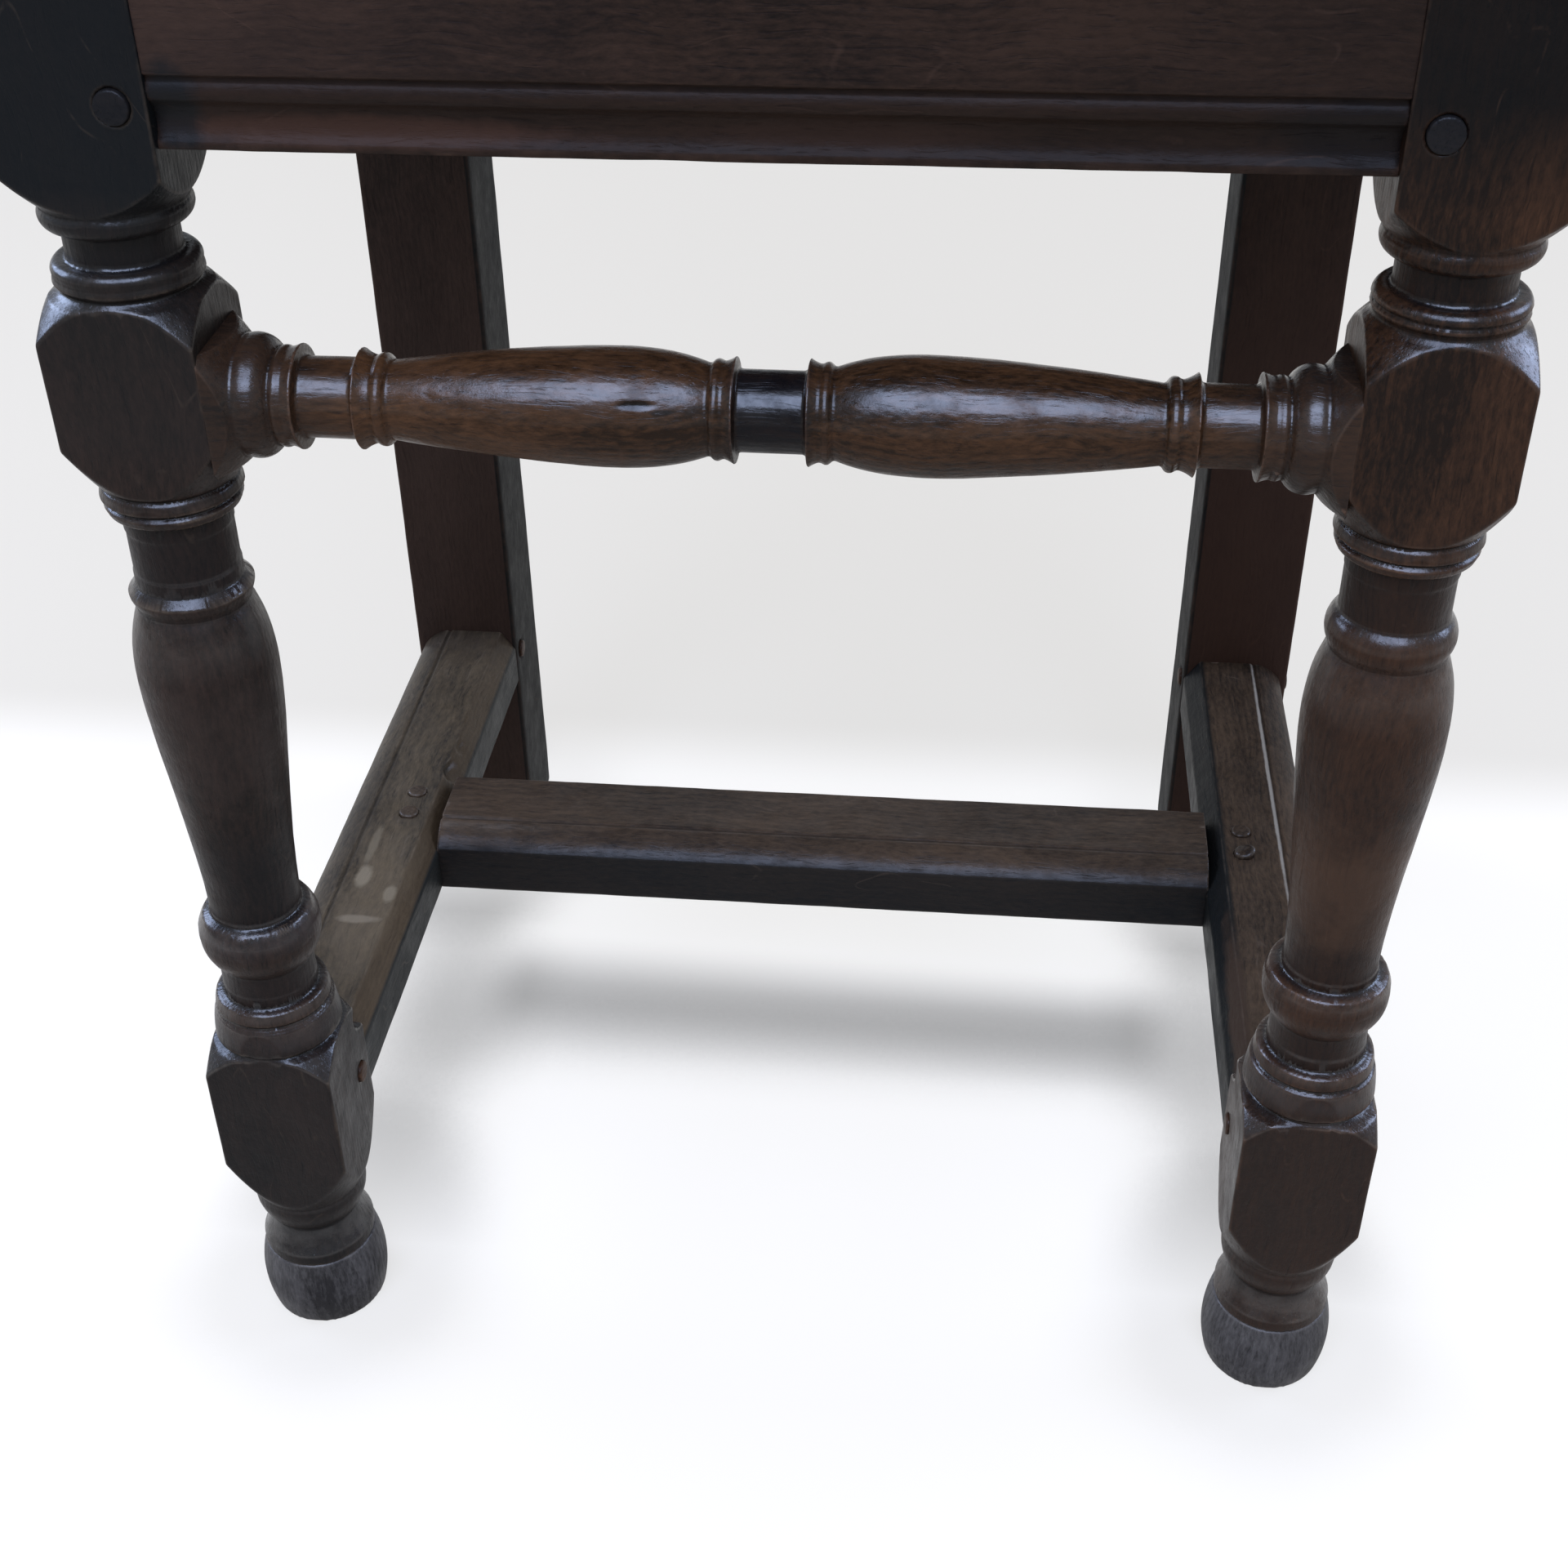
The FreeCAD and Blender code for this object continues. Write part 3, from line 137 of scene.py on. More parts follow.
def vector_calc(tree, operation, *terms):
    """The result of a sum with vectors."""
    new = add(tree, "ShaderNodeVectorMath", {"operation": operation, **dict(enumerate(terms))})
    return new.outputs["Value" if operation == "LENGTH" else "Vector"]


def mapped(tree, value, begins, full, low=0.0, high=1.0, run="LINEAR"):
    """Low where the value begins, high where it is full, and held beyond."""
    settings = {"interpolation_type": run, "Value": value, "From Min": begins, "From Max": full,
                "To Min": low, "To Max": high}
    return add(tree, "ShaderNodeMapRange", settings).outputs["Result"]


def blend(tree, factor, first, second, kind="MIX"):
    """The first colour, turned to the second by the factor."""
    settings = {"data_type": "RGBA", "blend_type": kind, "Factor": factor, 6: first, 7: second}
    return add(tree, "ShaderNodeMix", settings).outputs[2]


def noise(tree, size, vector, detail, roughness=0.5):
    """The outputs of a noise with patches of about this size."""
    settings = {"Scale": 1 / size, "Detail": detail, "Roughness": roughness, "Vector": vector}
    return add(tree, "ShaderNodeTexNoise", settings).outputs


def axes_of(tree, vector):
    """The outputs X, Y and Z of a vector."""
    return add(tree, "ShaderNodeSeparateXYZ", {"Vector": vector}).outputs


def fresh_tree(owner):
    """The empty node tree of a material or a world."""
    owner.use_nodes = True
    owner.node_tree.nodes.clear()
    return owner.node_tree


# %% [markdown]
# ## The floor
#
# The chair stands in front of a pale studio sweep: white underfoot, and a light grey from just behind
# the back legs, with a soft border. One large plane painted by its own coordinates does this from
# every side, where a real wall would stand in the way of the other views.

# %% The floor's paint
FLOOR_SIZE = 14.0
WHITE_ENDS = 0.165           # metres behind the origin
GREY_STARTS = 0.240

bpy.ops.mesh.primitive_plane_add(size=FLOOR_SIZE, location=(0, 0, 0))
floor = bpy.context.object
floor.name = "floor"
floor_paint = bpy.data.materials.new("studio_floor")
floor.data.materials.append(floor_paint)
tree = fresh_tree(floor_paint)
floor_place = add(tree, "ShaderNodeTexCoord", {}).outputs["Object"]
floor_y = axes_of(tree, floor_place)["Y"]
border = mapped(tree, floor_y, WHITE_ENDS, GREY_STARTS, run="SMOOTHSTEP")
paint = blend(tree, border, linear("#FFFFFF"), linear("#E7E6E4"))
print("floor", FLOOR_SIZE, "m across")

# %% [markdown]
# The low stretchers and the feet darken the floor right under them. An ambient occlusion node with a
# short reach finds such places, and it counts most between the front feet and the back ones. Under
# the medial stretcher the photograph has a darker band with soft ends, a little askew. It is painted
# by its distance from a middle line, since a lamp that threw it would also change the chair.

# %% The floor's shadows
CONTACT_REACH = 0.098
CONTACT_STOPS = [(0.84, grey(0.50)), (0.94, grey(1.0))]
CONTACT_SAMPLES = 40
CONTACT_FRONT = (-0.150, -0.075, 0.25)       # metres, from the least contact to all of it, and the least
CONTACT_REAR = (0.110, 0.060, 0.10)
SHADE_PLACE = (0, 0.003, 0)
SHADE_TURN = (0, 0, math.radians(-2.0))
SHADE_REACH = (0.043, 0.003)                 # metres off the middle line, from nothing to full
SHADE_ENDS = (0.165, 0.135)
SHADE_DEPTH = 0.38

under = calc(tree, "MULTIPLY", mapped(tree, floor_y, *CONTACT_FRONT), mapped(tree, floor_y, *CONTACT_REAR))
near = add(tree, "ShaderNodeAmbientOcclusion", {"Distance": CONTACT_REACH, "samples": CONTACT_SAMPLES})
contact = add(tree, "ShaderNodeValToRGB", {"Fac": near.outputs["AO"]}, stops=CONTACT_STOPS)
grounded = blend(tree, under, paint, contact.outputs["Color"], kind="MULTIPLY")
from_middle = add(tree, "ShaderNodeMapping", {"vector_type": "TEXTURE", "Location": SHADE_PLACE,
                                              "Rotation": SHADE_TURN, "Vector": floor_place})
off_middle = axes_of(tree, vector_calc(tree, "ABSOLUTE", from_middle.outputs["Vector"]))
shade = calc(tree, "MULTIPLY",
             mapped(tree, off_middle["Y"], *SHADE_REACH, high=SHADE_DEPTH, run="SMOOTHSTEP"),
             mapped(tree, off_middle["X"], *SHADE_ENDS, run="SMOOTHSTEP"))
shaded = blend(tree, shade, grounded, grey(0.0))

# %% [markdown]
# A floor that is white in the picture would throw as much light up at the chair as the lamps throw
# down. So the lens, and a mirror in the wax, see a floor that glows a little of itself, while the
# light that bounces from it to the wood meets a duller one. The Light Path node tells them apart.

# %% What the lens sees of the floor, and what the wood sees
FLOOR_GLOW = 0.76            # the share of the paint that shows of itself
FLOOR_LIT = (0.31, 0.275, 0.232, 1.0)        # the share that the lamps light, warm under cool lamps
FLOOR_BOUNCE = 0.35

lit = add(tree, "ShaderNodeBsdfDiffuse", {"Color": blend(tree, 1.0, shaded, FLOOR_LIT, kind="MULTIPLY")})
glow = add(tree, "ShaderNodeEmission", {"Strength": FLOOR_GLOW, "Color": shaded})
seen = add(tree, "ShaderNodeAddShader", {0: lit.outputs["BSDF"], 1: glow.outputs["Emission"]})
bounce = add(tree, "ShaderNodeBsdfDiffuse", {"Color": grey(FLOOR_BOUNCE)})
ray = add(tree, "ShaderNodeLightPath", {}).outputs
seen_or_mirrored = calc(tree, "MAXIMUM", ray["Is Camera Ray"], ray["Is Glossy Ray"])
not_bounced = calc(tree, "MAXIMUM", seen_or_mirrored, ray["Is Transmission Ray"])
mixed = add(tree, "ShaderNodeMixShader", {0: not_bounced, 1: bounce.outputs["BSDF"],
                                          2: seen.outputs["Shader"]})
add(tree, "ShaderNodeOutputMaterial", {"Surface": mixed.outputs["Shader"]})

# %% [markdown]
# ## Light
#
# Old waxed oak is nearly black: what the eye reads is the light that lies on it. In the photograph a
# broad cool light comes from above and in front, so beads, shoulders and the tops of the stretchers
# carry bluish highlights while the upright faces stay dark. A soft box high in front gives that. A
# weaker one hangs overhead, two at the sides draw the outlines, and an even pale world fills the rest,
# at a level where a white card would look white and no more.

# %% Lamps and world
WORLD_STRENGTH = 0.40


def soft_box(name, place, aim, size, watts, colour):
    """A rectangular lamp that looks at a point."""
    lamp = bpy.data.lights.new(name, "AREA")
    lamp.shape = "RECTANGLE"
    lamp.size, lamp.size_y = size
    lamp.energy = watts
    lamp.color = linear(colour)[:3]
    holder = bpy.data.objects.new(name, lamp)
    bpy.context.scene.collection.objects.link(holder)
    sight = Vector(aim) - Vector(place)
    holder.matrix_world = Matrix.Translation(place) @ sight.to_track_quat("-Z", "Y").to_matrix().to_4x4()


soft_box("key_light", (-0.05, -1.55, 2.15), (0.0, -0.05, 0.3), (2.1, 1.5), 60.0, "#C6D7FF")
soft_box("top_light", (-0.25, 0.35, 2.4), (0.0, 0.0, 0.3), (1.2, 1.2), 14.0, "#DCE8FF")
for side in (-1, 1):
    soft_box("rim_light", (side * 2.05, 0.55, 1.25), (0.0, -0.1, 0.35), (1.1, 1.0), 24.0, "#C2D6FF")

world = bpy.data.worlds.new("studio_air")
bpy.context.scene.world = world
tree = fresh_tree(world)
air = add(tree, "ShaderNodeBackground", {"Color": linear("#E4EAF2"), "Strength": WORLD_STRENGTH})
add(tree, "ShaderNodeOutputWorld", {"Surface": air.outputs["Background"]})
bpy.context.scene.view_settings.view_transform = "Standard"
print("lamps:", [light.name for light in bpy.data.lights])

# %% [markdown]
# ## Waxed oak
#
# The wood is English oak, riven or sawn along the grain, planed or turned by hand, and then waxed and
# smoked for generations. The eye finds four things in it. Growth rings about two millimetres apart
# show as faint lines that follow the swelling of a turning. Open pores, thin dark scratches a few
# millimetres long, all run with the grain. A patina of old wax goes from near black to a warm brown
# in patches the size of a hand. And where people touch it, on the arrises, the wax is rubbed through
# to a lighter, shinier brown, while dirt stays in the hollows. The grain must turn with each piece, so
# one recipe is given the axis of the grain and makes a finish for each run of wood.
#
# The recipe is cut into steps. The first makes the patterns, each in its own stretch of space: drawn
# out along the grain, and pushed about a little, because no tree grows straight.

# %% The patterns in oak
RING_SPACING = 2.3 * MM
RING_PERIOD = 0.314          # the wave texture's own period at a scale of 1
HEART_PLACE = Vector((0.083, -0.121, 0.067))     # keeps the heart of the tree away from every piece
LOG_STRETCH = 0.12
PORE_WIDTH = 0.75 * MM       # a real pore is 0.3 mm wide, too fine for the picture, so it is coarser
PORE_STRETCH = 0.045         # a pore is some twenty times as long as it is wide
FIGURE_WIDTH = 2.2 * MM
MOTTLE_SIZE = 1.3 * MM
PATINA_SIZE = 34 * MM
PATINA_STRETCH = 0.3
GRIME_SIZE = 11 * MM
SCRATCH_SIZE = 26 * MM
WAVER_SIZE = 45 * MM
WAVER_REACH = 9 * MM
RING_WAVER = {"Distortion": 5.0, "Detail": 3.0, "Detail Scale": 0.8}


def along(grain, share):
    """Scales of 1 across the grain and the share along it."""
    return [share if axis == grain else 1.0 for axis in "XYZ"]


def oak_patterns(tree, grain, straight):
    """The patterns by name, as sockets."""
    waver = noise(tree, WAVER_SIZE, straight, detail=2.0)["Color"]
    centred = vector_calc(tree, "SUBTRACT", waver, (0.5, 0.5, 0.5))
    pushed = vector_calc(tree, "MULTIPLY", centred, [WAVER_REACH] * 3)
    wavy = vector_calc(tree, "ADD", straight, pushed)
    log, fibre, drawn = [
        add(tree, "ShaderNodeMapping", {"Location": place, "Scale": along(grain, share),
                                        "Vector": wavy}).outputs["Vector"]
        for place, share in ((HEART_PLACE, LOG_STRETCH), ((0, 0, 0), PORE_STRETCH),
                             ((0, 0, 0), PATINA_STRETCH))]
    rings = add(tree, "ShaderNodeTexWave", {"wave_type": "RINGS", "rings_direction": grain, "Vector": log,
                                            "Scale": RING_PERIOD / RING_SPACING, **RING_WAVER})
    return {"rings": rings.outputs["Fac"],
            "pores": noise(tree, PORE_WIDTH, fibre, 3.0, 0.6)["Fac"],
            "streaks": noise(tree, FIGURE_WIDTH, fibre, 4.0, 0.6)["Fac"],
            "mottle": noise(tree, MOTTLE_SIZE, drawn, 3.0, 0.7)["Fac"],
            "patina": noise(tree, PATINA_SIZE, drawn, 5.0, 0.6)["Fac"],
            "grime": noise(tree, GRIME_SIZE, straight, 5.0, 0.65),
            "bruise": noise(tree, SCRATCH_SIZE, drawn, 1.5)["Fac"]}


# %% [markdown]
# The second step is the colour of sound wood. All patterns pull one level up and down between a dark
# and a light tone, so they stay in the same family of browns, and the pores are cut into that.

# %% The colour of sound wood
MIDDLE_LEVEL = 0.46
PULLS = {"streaks": 0.5, "mottle": 1.5, "patina": 2.4}
PORE_EDGE = (0.42, 0.30)
PORE_SHARE = 0.55


def sound_wood(tree, patterns, tones, figure):
    """The wood's colour and its open pores. Figure is the pull of the growth rings."""
    hollow, dark, light, rubbed = tones
    level = MIDDLE_LEVEL
    for name, pull in {**PULLS, "rings": figure}.items():
        swing = calc(tree, "SUBTRACT", patterns[name], 0.5)
        level = calc(tree, "MULTIPLY_ADD", swing, pull, level)
    open_pores = mapped(tree, patterns["pores"], *PORE_EDGE, high=PORE_SHARE)
    return blend(tree, open_pores, blend(tree, level, dark, light), hollow), open_pores


# %% [markdown]
# The third step is history, with some painted light. Smoke, polish and boots gave whole regions of the
# chair another tone: the seat blocks are nearly black, the low stretchers bleached. Such a band begins
# and ends at a height, a distance from the middle or a radius. A knot, a bruise or a bare patch is a mark
# instead, an ellipsoid with a ragged border. Some bands are painted shade on faces turned from the light,
# and some marks painted highlights. Painting them on an image would tie them to one picture, while
# places in millimetres hold from every side.

# %% Bands and marks
RAGGED = 0.8                 # how far the grime pushes a mark's border about
MARK_EDGE = (1.0, 0.6)       # a mark fades in over the outer two fifths of its reach


def add_bands(tree, colour, straight, grain, axle, bands):
    """A band is a measure, where another tone begins, where it is full, that tone and its share. The
    measures are X, Y and Z, the same on both sides of the chair, side, which isn't, and R, the
    distance from an axle."""
    folded = vector_calc(tree, "ABSOLUTE", straight)
    from_axle = vector_calc(tree, "SUBTRACT", folded, axle)
    spoke = vector_calc(tree, "MULTIPLY", from_axle, along(grain, 0.0))
    folded_axes = axes_of(tree, folded)
    measures = {axis: folded_axes[axis] for axis in "XYZ"}
    measures["side"] = axes_of(tree, straight)["X"]
    measures["R"] = vector_calc(tree, "LENGTH", spoke)
    for measure, begins, full, tone, share in bands:
        band = mapped(tree, measures[measure], begins, full, high=share)
        colour = blend(tree, band, colour, linear(tone))
    return colour


def add_marks(tree, colour, straight, grime, marks):
    """A mark is its middle and its reaches in mm, its tone and its share."""
    for middle, reaches, tone, share in marks:
        about = add(tree, "ShaderNodeMapping", {"vector_type": "TEXTURE", "Location": Vector(middle) * MM,
                                                "Scale": Vector(reaches) * MM, "Vector": straight})
        ragged = vector_calc(tree, "MULTIPLY_ADD", grime["Color"], [RAGGED] * 3, about.outputs["Vector"])
        inward = vector_calc(tree, "SUBTRACT", ragged, [RAGGED / 2] * 3)
        spot = mapped(tree, vector_calc(tree, "LENGTH", inward), *MARK_EDGE, high=share)
        colour = blend(tree, spot, colour, linear(tone))
    return colour


# %% [markdown]
# The fourth step is dirt, rubbing and scratches. Blender's Pointiness says how far a place stands out
# from what surrounds it: low in a hollow, where dirt stays, and high on an arris, where hands rub. The
# same grime noise breaks up both. A scratch follows a level line of a slow noise, as a stray tool does.

# %% Dirt, rubbing, scratches, and dust with painted sheen
HOLLOW_EDGE = (0.492, 0.44)
HOLLOW_SHARE = 0.85
ARRIS_EDGE = (0.515, 0.58)
TOUCHED_EDGE = (0.38, 0.62)
SCRATCH_EDGE = (0.005, 0.001)
SCRATCH_SHARE = 0.13
BROKEN_EDGE = (0.50, 0.60)
DUST_AND_SHEEN = "#7F7468"
LEVEL_EDGE = (0.45, 1.0)     # from a steep face to a level one


def add_use(tree, colour, patterns, shape, tones, wear):
    """The used wood's colour, its hollows and its scratches."""
    hollow, dark, light, rubbed = tones
    grime = patterns["grime"]["Fac"]
    in_hollow = mapped(tree, shape["Pointiness"], *HOLLOW_EDGE, high=HOLLOW_SHARE)
    dirty = blend(tree, in_hollow, colour, hollow)
    on_arris = mapped(tree, shape["Pointiness"], *ARRIS_EDGE)
    rub = calc(tree, "MULTIPLY", on_arris, mapped(tree, grime, *TOUCHED_EDGE, high=wear))
    off_line = calc(tree, "ABSOLUTE", calc(tree, "SUBTRACT", patterns["bruise"], 0.5))
    scratch = mapped(tree, off_line, *SCRATCH_EDGE, high=SCRATCH_SHARE * wear)
    scored = calc(tree, "MULTIPLY", scratch, mapped(tree, grime, *BROKEN_EDGE))
    light_marks = calc(tree, "MAXIMUM", rub, scored, clamp=True)
    return blend(tree, light_marks, dirty, rubbed), in_hollow, scored


def add_dust_and_sheen(tree, colour, grime, upward, dust):
    """Dust settles on what faces up. On the feet the paler tops are partly painted sheen as well."""
    settled = mapped(tree, upward, *LEVEL_EDGE, high=dust)
    patchy = calc(tree, "MULTIPLY", settled, grime, clamp=True)
    return blend(tree, patchy, colour, linear(DUST_AND_SHEEN))


# %% [markdown]
# The last step is the surface. Wax is a clear coat of its own over the wood, thick where a duster
# reaches, on round and upper surfaces, and thin on upright faces. Pores, hollows and dust are dull.
# And a bump, a tenth to a third of a millimetre high, holds what is too fine to model: pores and
# scratches cut in, rings a little proud, grime in small grains.

# %% The recipe for waxed oak
OAK_IOR = 1.42               # wax in the grain
OAK_SPECULAR = 0.12
WAX_IOR = 1.62               # hard old wax over it, mirror-bright where dusters reach
WAX_ROUGHNESS = 0.23
UPWARD_EDGE = (0.05, 0.55)   # from an upright face to one that a duster reaches
LEAST_WAX = 0.02
BUFFED_EDGE = (0.34, 0.56)
LEAST_BUFFED = 0.4
DULL_EDGE = (0.3, 0.7)
GLOSSIER, DULLER = 0.07, 0.13                    # how far the grime moves the gloss to each side
PORE_DULL = 0.25
HOLLOW_DULL = 0.35
RING_DEPTH = 0.12            # depths are shares of the bump's height
CUT_DEPTH = -0.8
MOTTLE_DEPTH = 0.7
GRIME_DEPTH = 2.2
BUMP_STRENGTH = 0.6
WOOD_BUMP = 0.35 * MM
WAX_BUMP = 0.12 * MM


def waxed_oak(name, grain, tones, gloss, wear, polish, figure=0.15, dust=0.0, axle=(0, 0, 0),
              bands=(), marks=()):
    """A finish of old oak. The tones are hollow, dark, light and rubbed, and the gloss is the roughness of
    sound wax. Wear, polish and dust are shares."""
    material = bpy.data.materials.new(name)
    tree = fresh_tree(material)
    tones = [linear(tone) for tone in tones]
    straight = add(tree, "ShaderNodeTexCoord", {}).outputs["Object"]
    shape = add(tree, "ShaderNodeNewGeometry", {}).outputs
    upward = axes_of(tree, shape["Normal"])["Z"]
    patterns = oak_patterns(tree, grain, straight)
    grime = patterns["grime"]["Fac"]

    colour, open_pores = sound_wood(tree, patterns, tones, figure)
    colour = add_bands(tree, colour, straight, grain, axle, bands)
    colour = add_marks(tree, colour, straight, patterns["grime"], marks)
    colour, in_hollow, scored = add_use(tree, colour, patterns, shape, tones, wear)
    colour = add_dust_and_sheen(tree, colour, grime, upward, dust)

    reached = mapped(tree, upward, *UPWARD_EDGE, low=LEAST_WAX, high=polish)
    buffed = mapped(tree, grime, *BUFFED_EDGE, low=LEAST_BUFFED)
    wax = calc(tree, "MULTIPLY", reached, buffed, clamp=True)
    dull = mapped(tree, grime, *DULL_EDGE, low=gloss - GLOSSIER, high=gloss + DULLER)
    duller = calc(tree, "MULTIPLY_ADD", open_pores, PORE_DULL, dull)
    dullest = calc(tree, "MULTIPLY_ADD", in_hollow, HOLLOW_DULL, duller, clamp=True)

    height = calc(tree, "MULTIPLY", patterns["rings"], RING_DEPTH)
    for layer, depth in ((open_pores, CUT_DEPTH), (scored, CUT_DEPTH),
                         (patterns["mottle"], MOTTLE_DEPTH), (grime, GRIME_DEPTH)):
        height = calc(tree, "MULTIPLY_ADD", layer, depth, height)
    wood_skin, wax_skin = [
        add(tree, "ShaderNodeBump", {"Strength": BUMP_STRENGTH, "Distance": distance, "Height": height})
        for distance in (WOOD_BUMP, WAX_BUMP)]
    surface = add(tree, "ShaderNodeBsdfPrincipled", {
        "IOR": OAK_IOR, "Specular IOR Level": OAK_SPECULAR, "Coat Roughness": WAX_ROUGHNESS,
        "Coat IOR": WAX_IOR, "Base Color": colour, "Roughness": dullest, "Coat Weight": wax,
        "Normal": wood_skin.outputs["Normal"], "Coat Normal": wax_skin.outputs["Normal"]})
    add(tree, "ShaderNodeOutputMaterial", {"Surface": surface.outputs["BSDF"]})
    return material


# %% [markdown]
# ## The finishes of the turned pieces
#
# The left post is cooler in tone than the right one. Both go black towards the seat and dark in the
# necks, as painted shade under the beads and dirt where no duster comes. Some beads and collars carry
# painted highlights. The high stretcher is the chair's brightest piece, with a black neck in its middle
# and a knot in its left vase. The feet are dry and grey, and their paler tops are partly painted sheen.

# %% Finishes of posts, feet and the high stretcher
POST_AXLE = (0.180, 0.1713, 0)

left_oak = waxed_oak(
    "turned_oak_left", "Z", ("#0B0A0A", "#18120E", "#3B2B22", "#76634F"), gloss=0.38, wear=0.8, polish=1.0,
    axle=POST_AXLE,
    bands=[("Z", 0.150, 0.138, "#151515", 0.6), ("Z", 0.350, 0.372, "#262320", 0.45),
           # the band by radius darkens the necks: painted shade under the beads, and dirt
           ("R", 0.0182, 0.0165, "#0E0F11", 0.5), ("Z", 0.425, 0.446, "#0F1315", 0.85)],
    marks=[((-180, -171, 184), (30, 30, 7), "#4A4543", 0.2),        # painted highlights on the big bead and, below it, the lower collar
           ((-180, -171, 143), (30, 30, 6), "#403C3B", 0.2),
           ((-180, -171, 272), (32, 32, 42), "#45372F", 0.4)])
right_oak = waxed_oak(
    "turned_oak_right", "Z", ("#0C0908", "#1D130D", "#4E3321", "#7E5E47"), gloss=0.36, wear=0.8, polish=1.0,
    axle=POST_AXLE,
    bands=[("Z", 0.150, 0.138, "#1C1917", 0.5), ("Z", 0.365, 0.340, "#33231A", 0.4),
           # the band by radius darkens the necks: painted shade under the beads, and dirt
           ("R", 0.0182, 0.0165, "#100D0D", 0.55), ("Z", 0.445, 0.475, "#08090A", 0.9)],
    # a painted highlight on the lower collar
    marks=[((180, -171, 143), (30, 30, 6), "#443D39", 0.3),
           ((180, -171, 232), (32, 32, 38), "#5A412F", 0.5)])
# partly painted sheen: the pale grey tones and the dust on top stand for sky reflected on the feet, and for
# dry wood
foot_oak_with_sheen = waxed_oak("foot_oak_with_sheen", "Z", ("#131212", "#2A2726", "#66605B", "#8F857C"), gloss=0.50, wear=1.0,
                     polish=0.4, dust=0.3)
spindle_oak = waxed_oak(
    "turned_oak_across", "X", ("#0E0806", "#26180D", "#5F3F27", "#8A6852"), gloss=0.30, wear=0.55,
    polish=1.0,
    bands=[("X", 0.118, 0.144, "#211D1A", 0.65), ("X", 0.0125, 0.0085, "#0A0C10", 0.85)],
    marks=[((-37, -188, 387), (6, 7, 1.7), "#080605", 0.9),         # a knot in the left vase
           ((-29, -188, 385), (4, 7, 1.0), "#0C0907", 0.8),
           ((30, -188, 392), (10, 7, 3), "#1A110B", 0.5),
           ((108, -189, 391), (3, 8, 5), "#100B09", 0.6)])          # a break in the right disc

# %% [markdown]
# ## The finishes of the frame
#
# Rails and back posts are plain planed oak, dull, since nobody polishes the inside of a frame. The
# faces that the back posts turn to each other are darkened as painted shade. Along the front rail the
# tone changes from a reddish left to a nearly black right, and its moulding is darkened as painted shade.

# %% Finishes of back posts and rails
# painted shade: the sides that the back posts turn to each other are darkened and cooled
INNER_SIDE_PAINTED_SHADE = ("X", 0.1598, 0.1592, "#0A1010", 0.9)
FRAME_TONES = ("#0D0909", "#18110D", "#3F2D22", "#705443")

back_left_oak = waxed_oak(
    "planed_oak_upright_left", "Z", ("#0B0807", "#1C140F", "#3F2F26", "#5E4434"), gloss=0.60, wear=0.9,
    polish=0.03, bands=[("Z", 0.38, 0.25, "#44332A", 0.5), INNER_SIDE_PAINTED_SHADE])
back_right_oak = waxed_oak(
    "planed_oak_upright_right", "Z", ("#0B0807", "#17100C", "#322319", "#5E4434"), gloss=0.60, wear=0.9,
    polish=0.03, bands=[("Z", 0.38, 0.25, "#453026", 0.6), INNER_SIDE_PAINTED_SHADE])
rail_oak = waxed_oak("planed_oak_across", "X", FRAME_TONES, gloss=0.50, wear=0.9, polish=0.15)
front_rail_oak = waxed_oak(
    "planed_oak_front_rail", "X", FRAME_TONES, gloss=0.54, wear=0.8, polish=0.05,
    bands=[("side", -0.02, -0.15, "#4A382F", 0.4), ("side", 0.0, 0.15, "#1C130E", 0.5),
           # painted shade: below the quirk the moulding turns down and is darkened
           ("Z", 0.479, 0.472, "#21160F", 0.6)],
    marks=[((-105, -195, 461), (70, 30, 5), "#4A3226", 0.6),
           ((-152, -195, 466), (9, 30, 16), "#11181A", 0.7),
           ((20, -195, 463), (45, 30, 5), "#35241B", 0.5),
           ((150, -195, 466), (30, 30, 12), "#0E0E0F", 0.6)])
side_oak = waxed_oak("planed_oak_front_to_back", "Y", FRAME_TONES, gloss=0.48, wear=0.9, polish=0.3)

# %% [markdown]
# ## The finishes of the low stretchers
#
# Boots and mops keep the low stretchers bare. The left one is the palest, with bruises near its front
# end. A pale line is painted along the scratched groove of the right one. The faces that the side
# stretchers turn inwards, and the front face of the medial one, are darkened as painted shade. The seat
# is polished by its sitters, and the pegs are end grain, darkest in the seat blocks.

# %% Finishes of low stretchers, boards and pegs
BOOT_TONES = ("#120F0D", "#271E17", "#584534", "#8A7563")

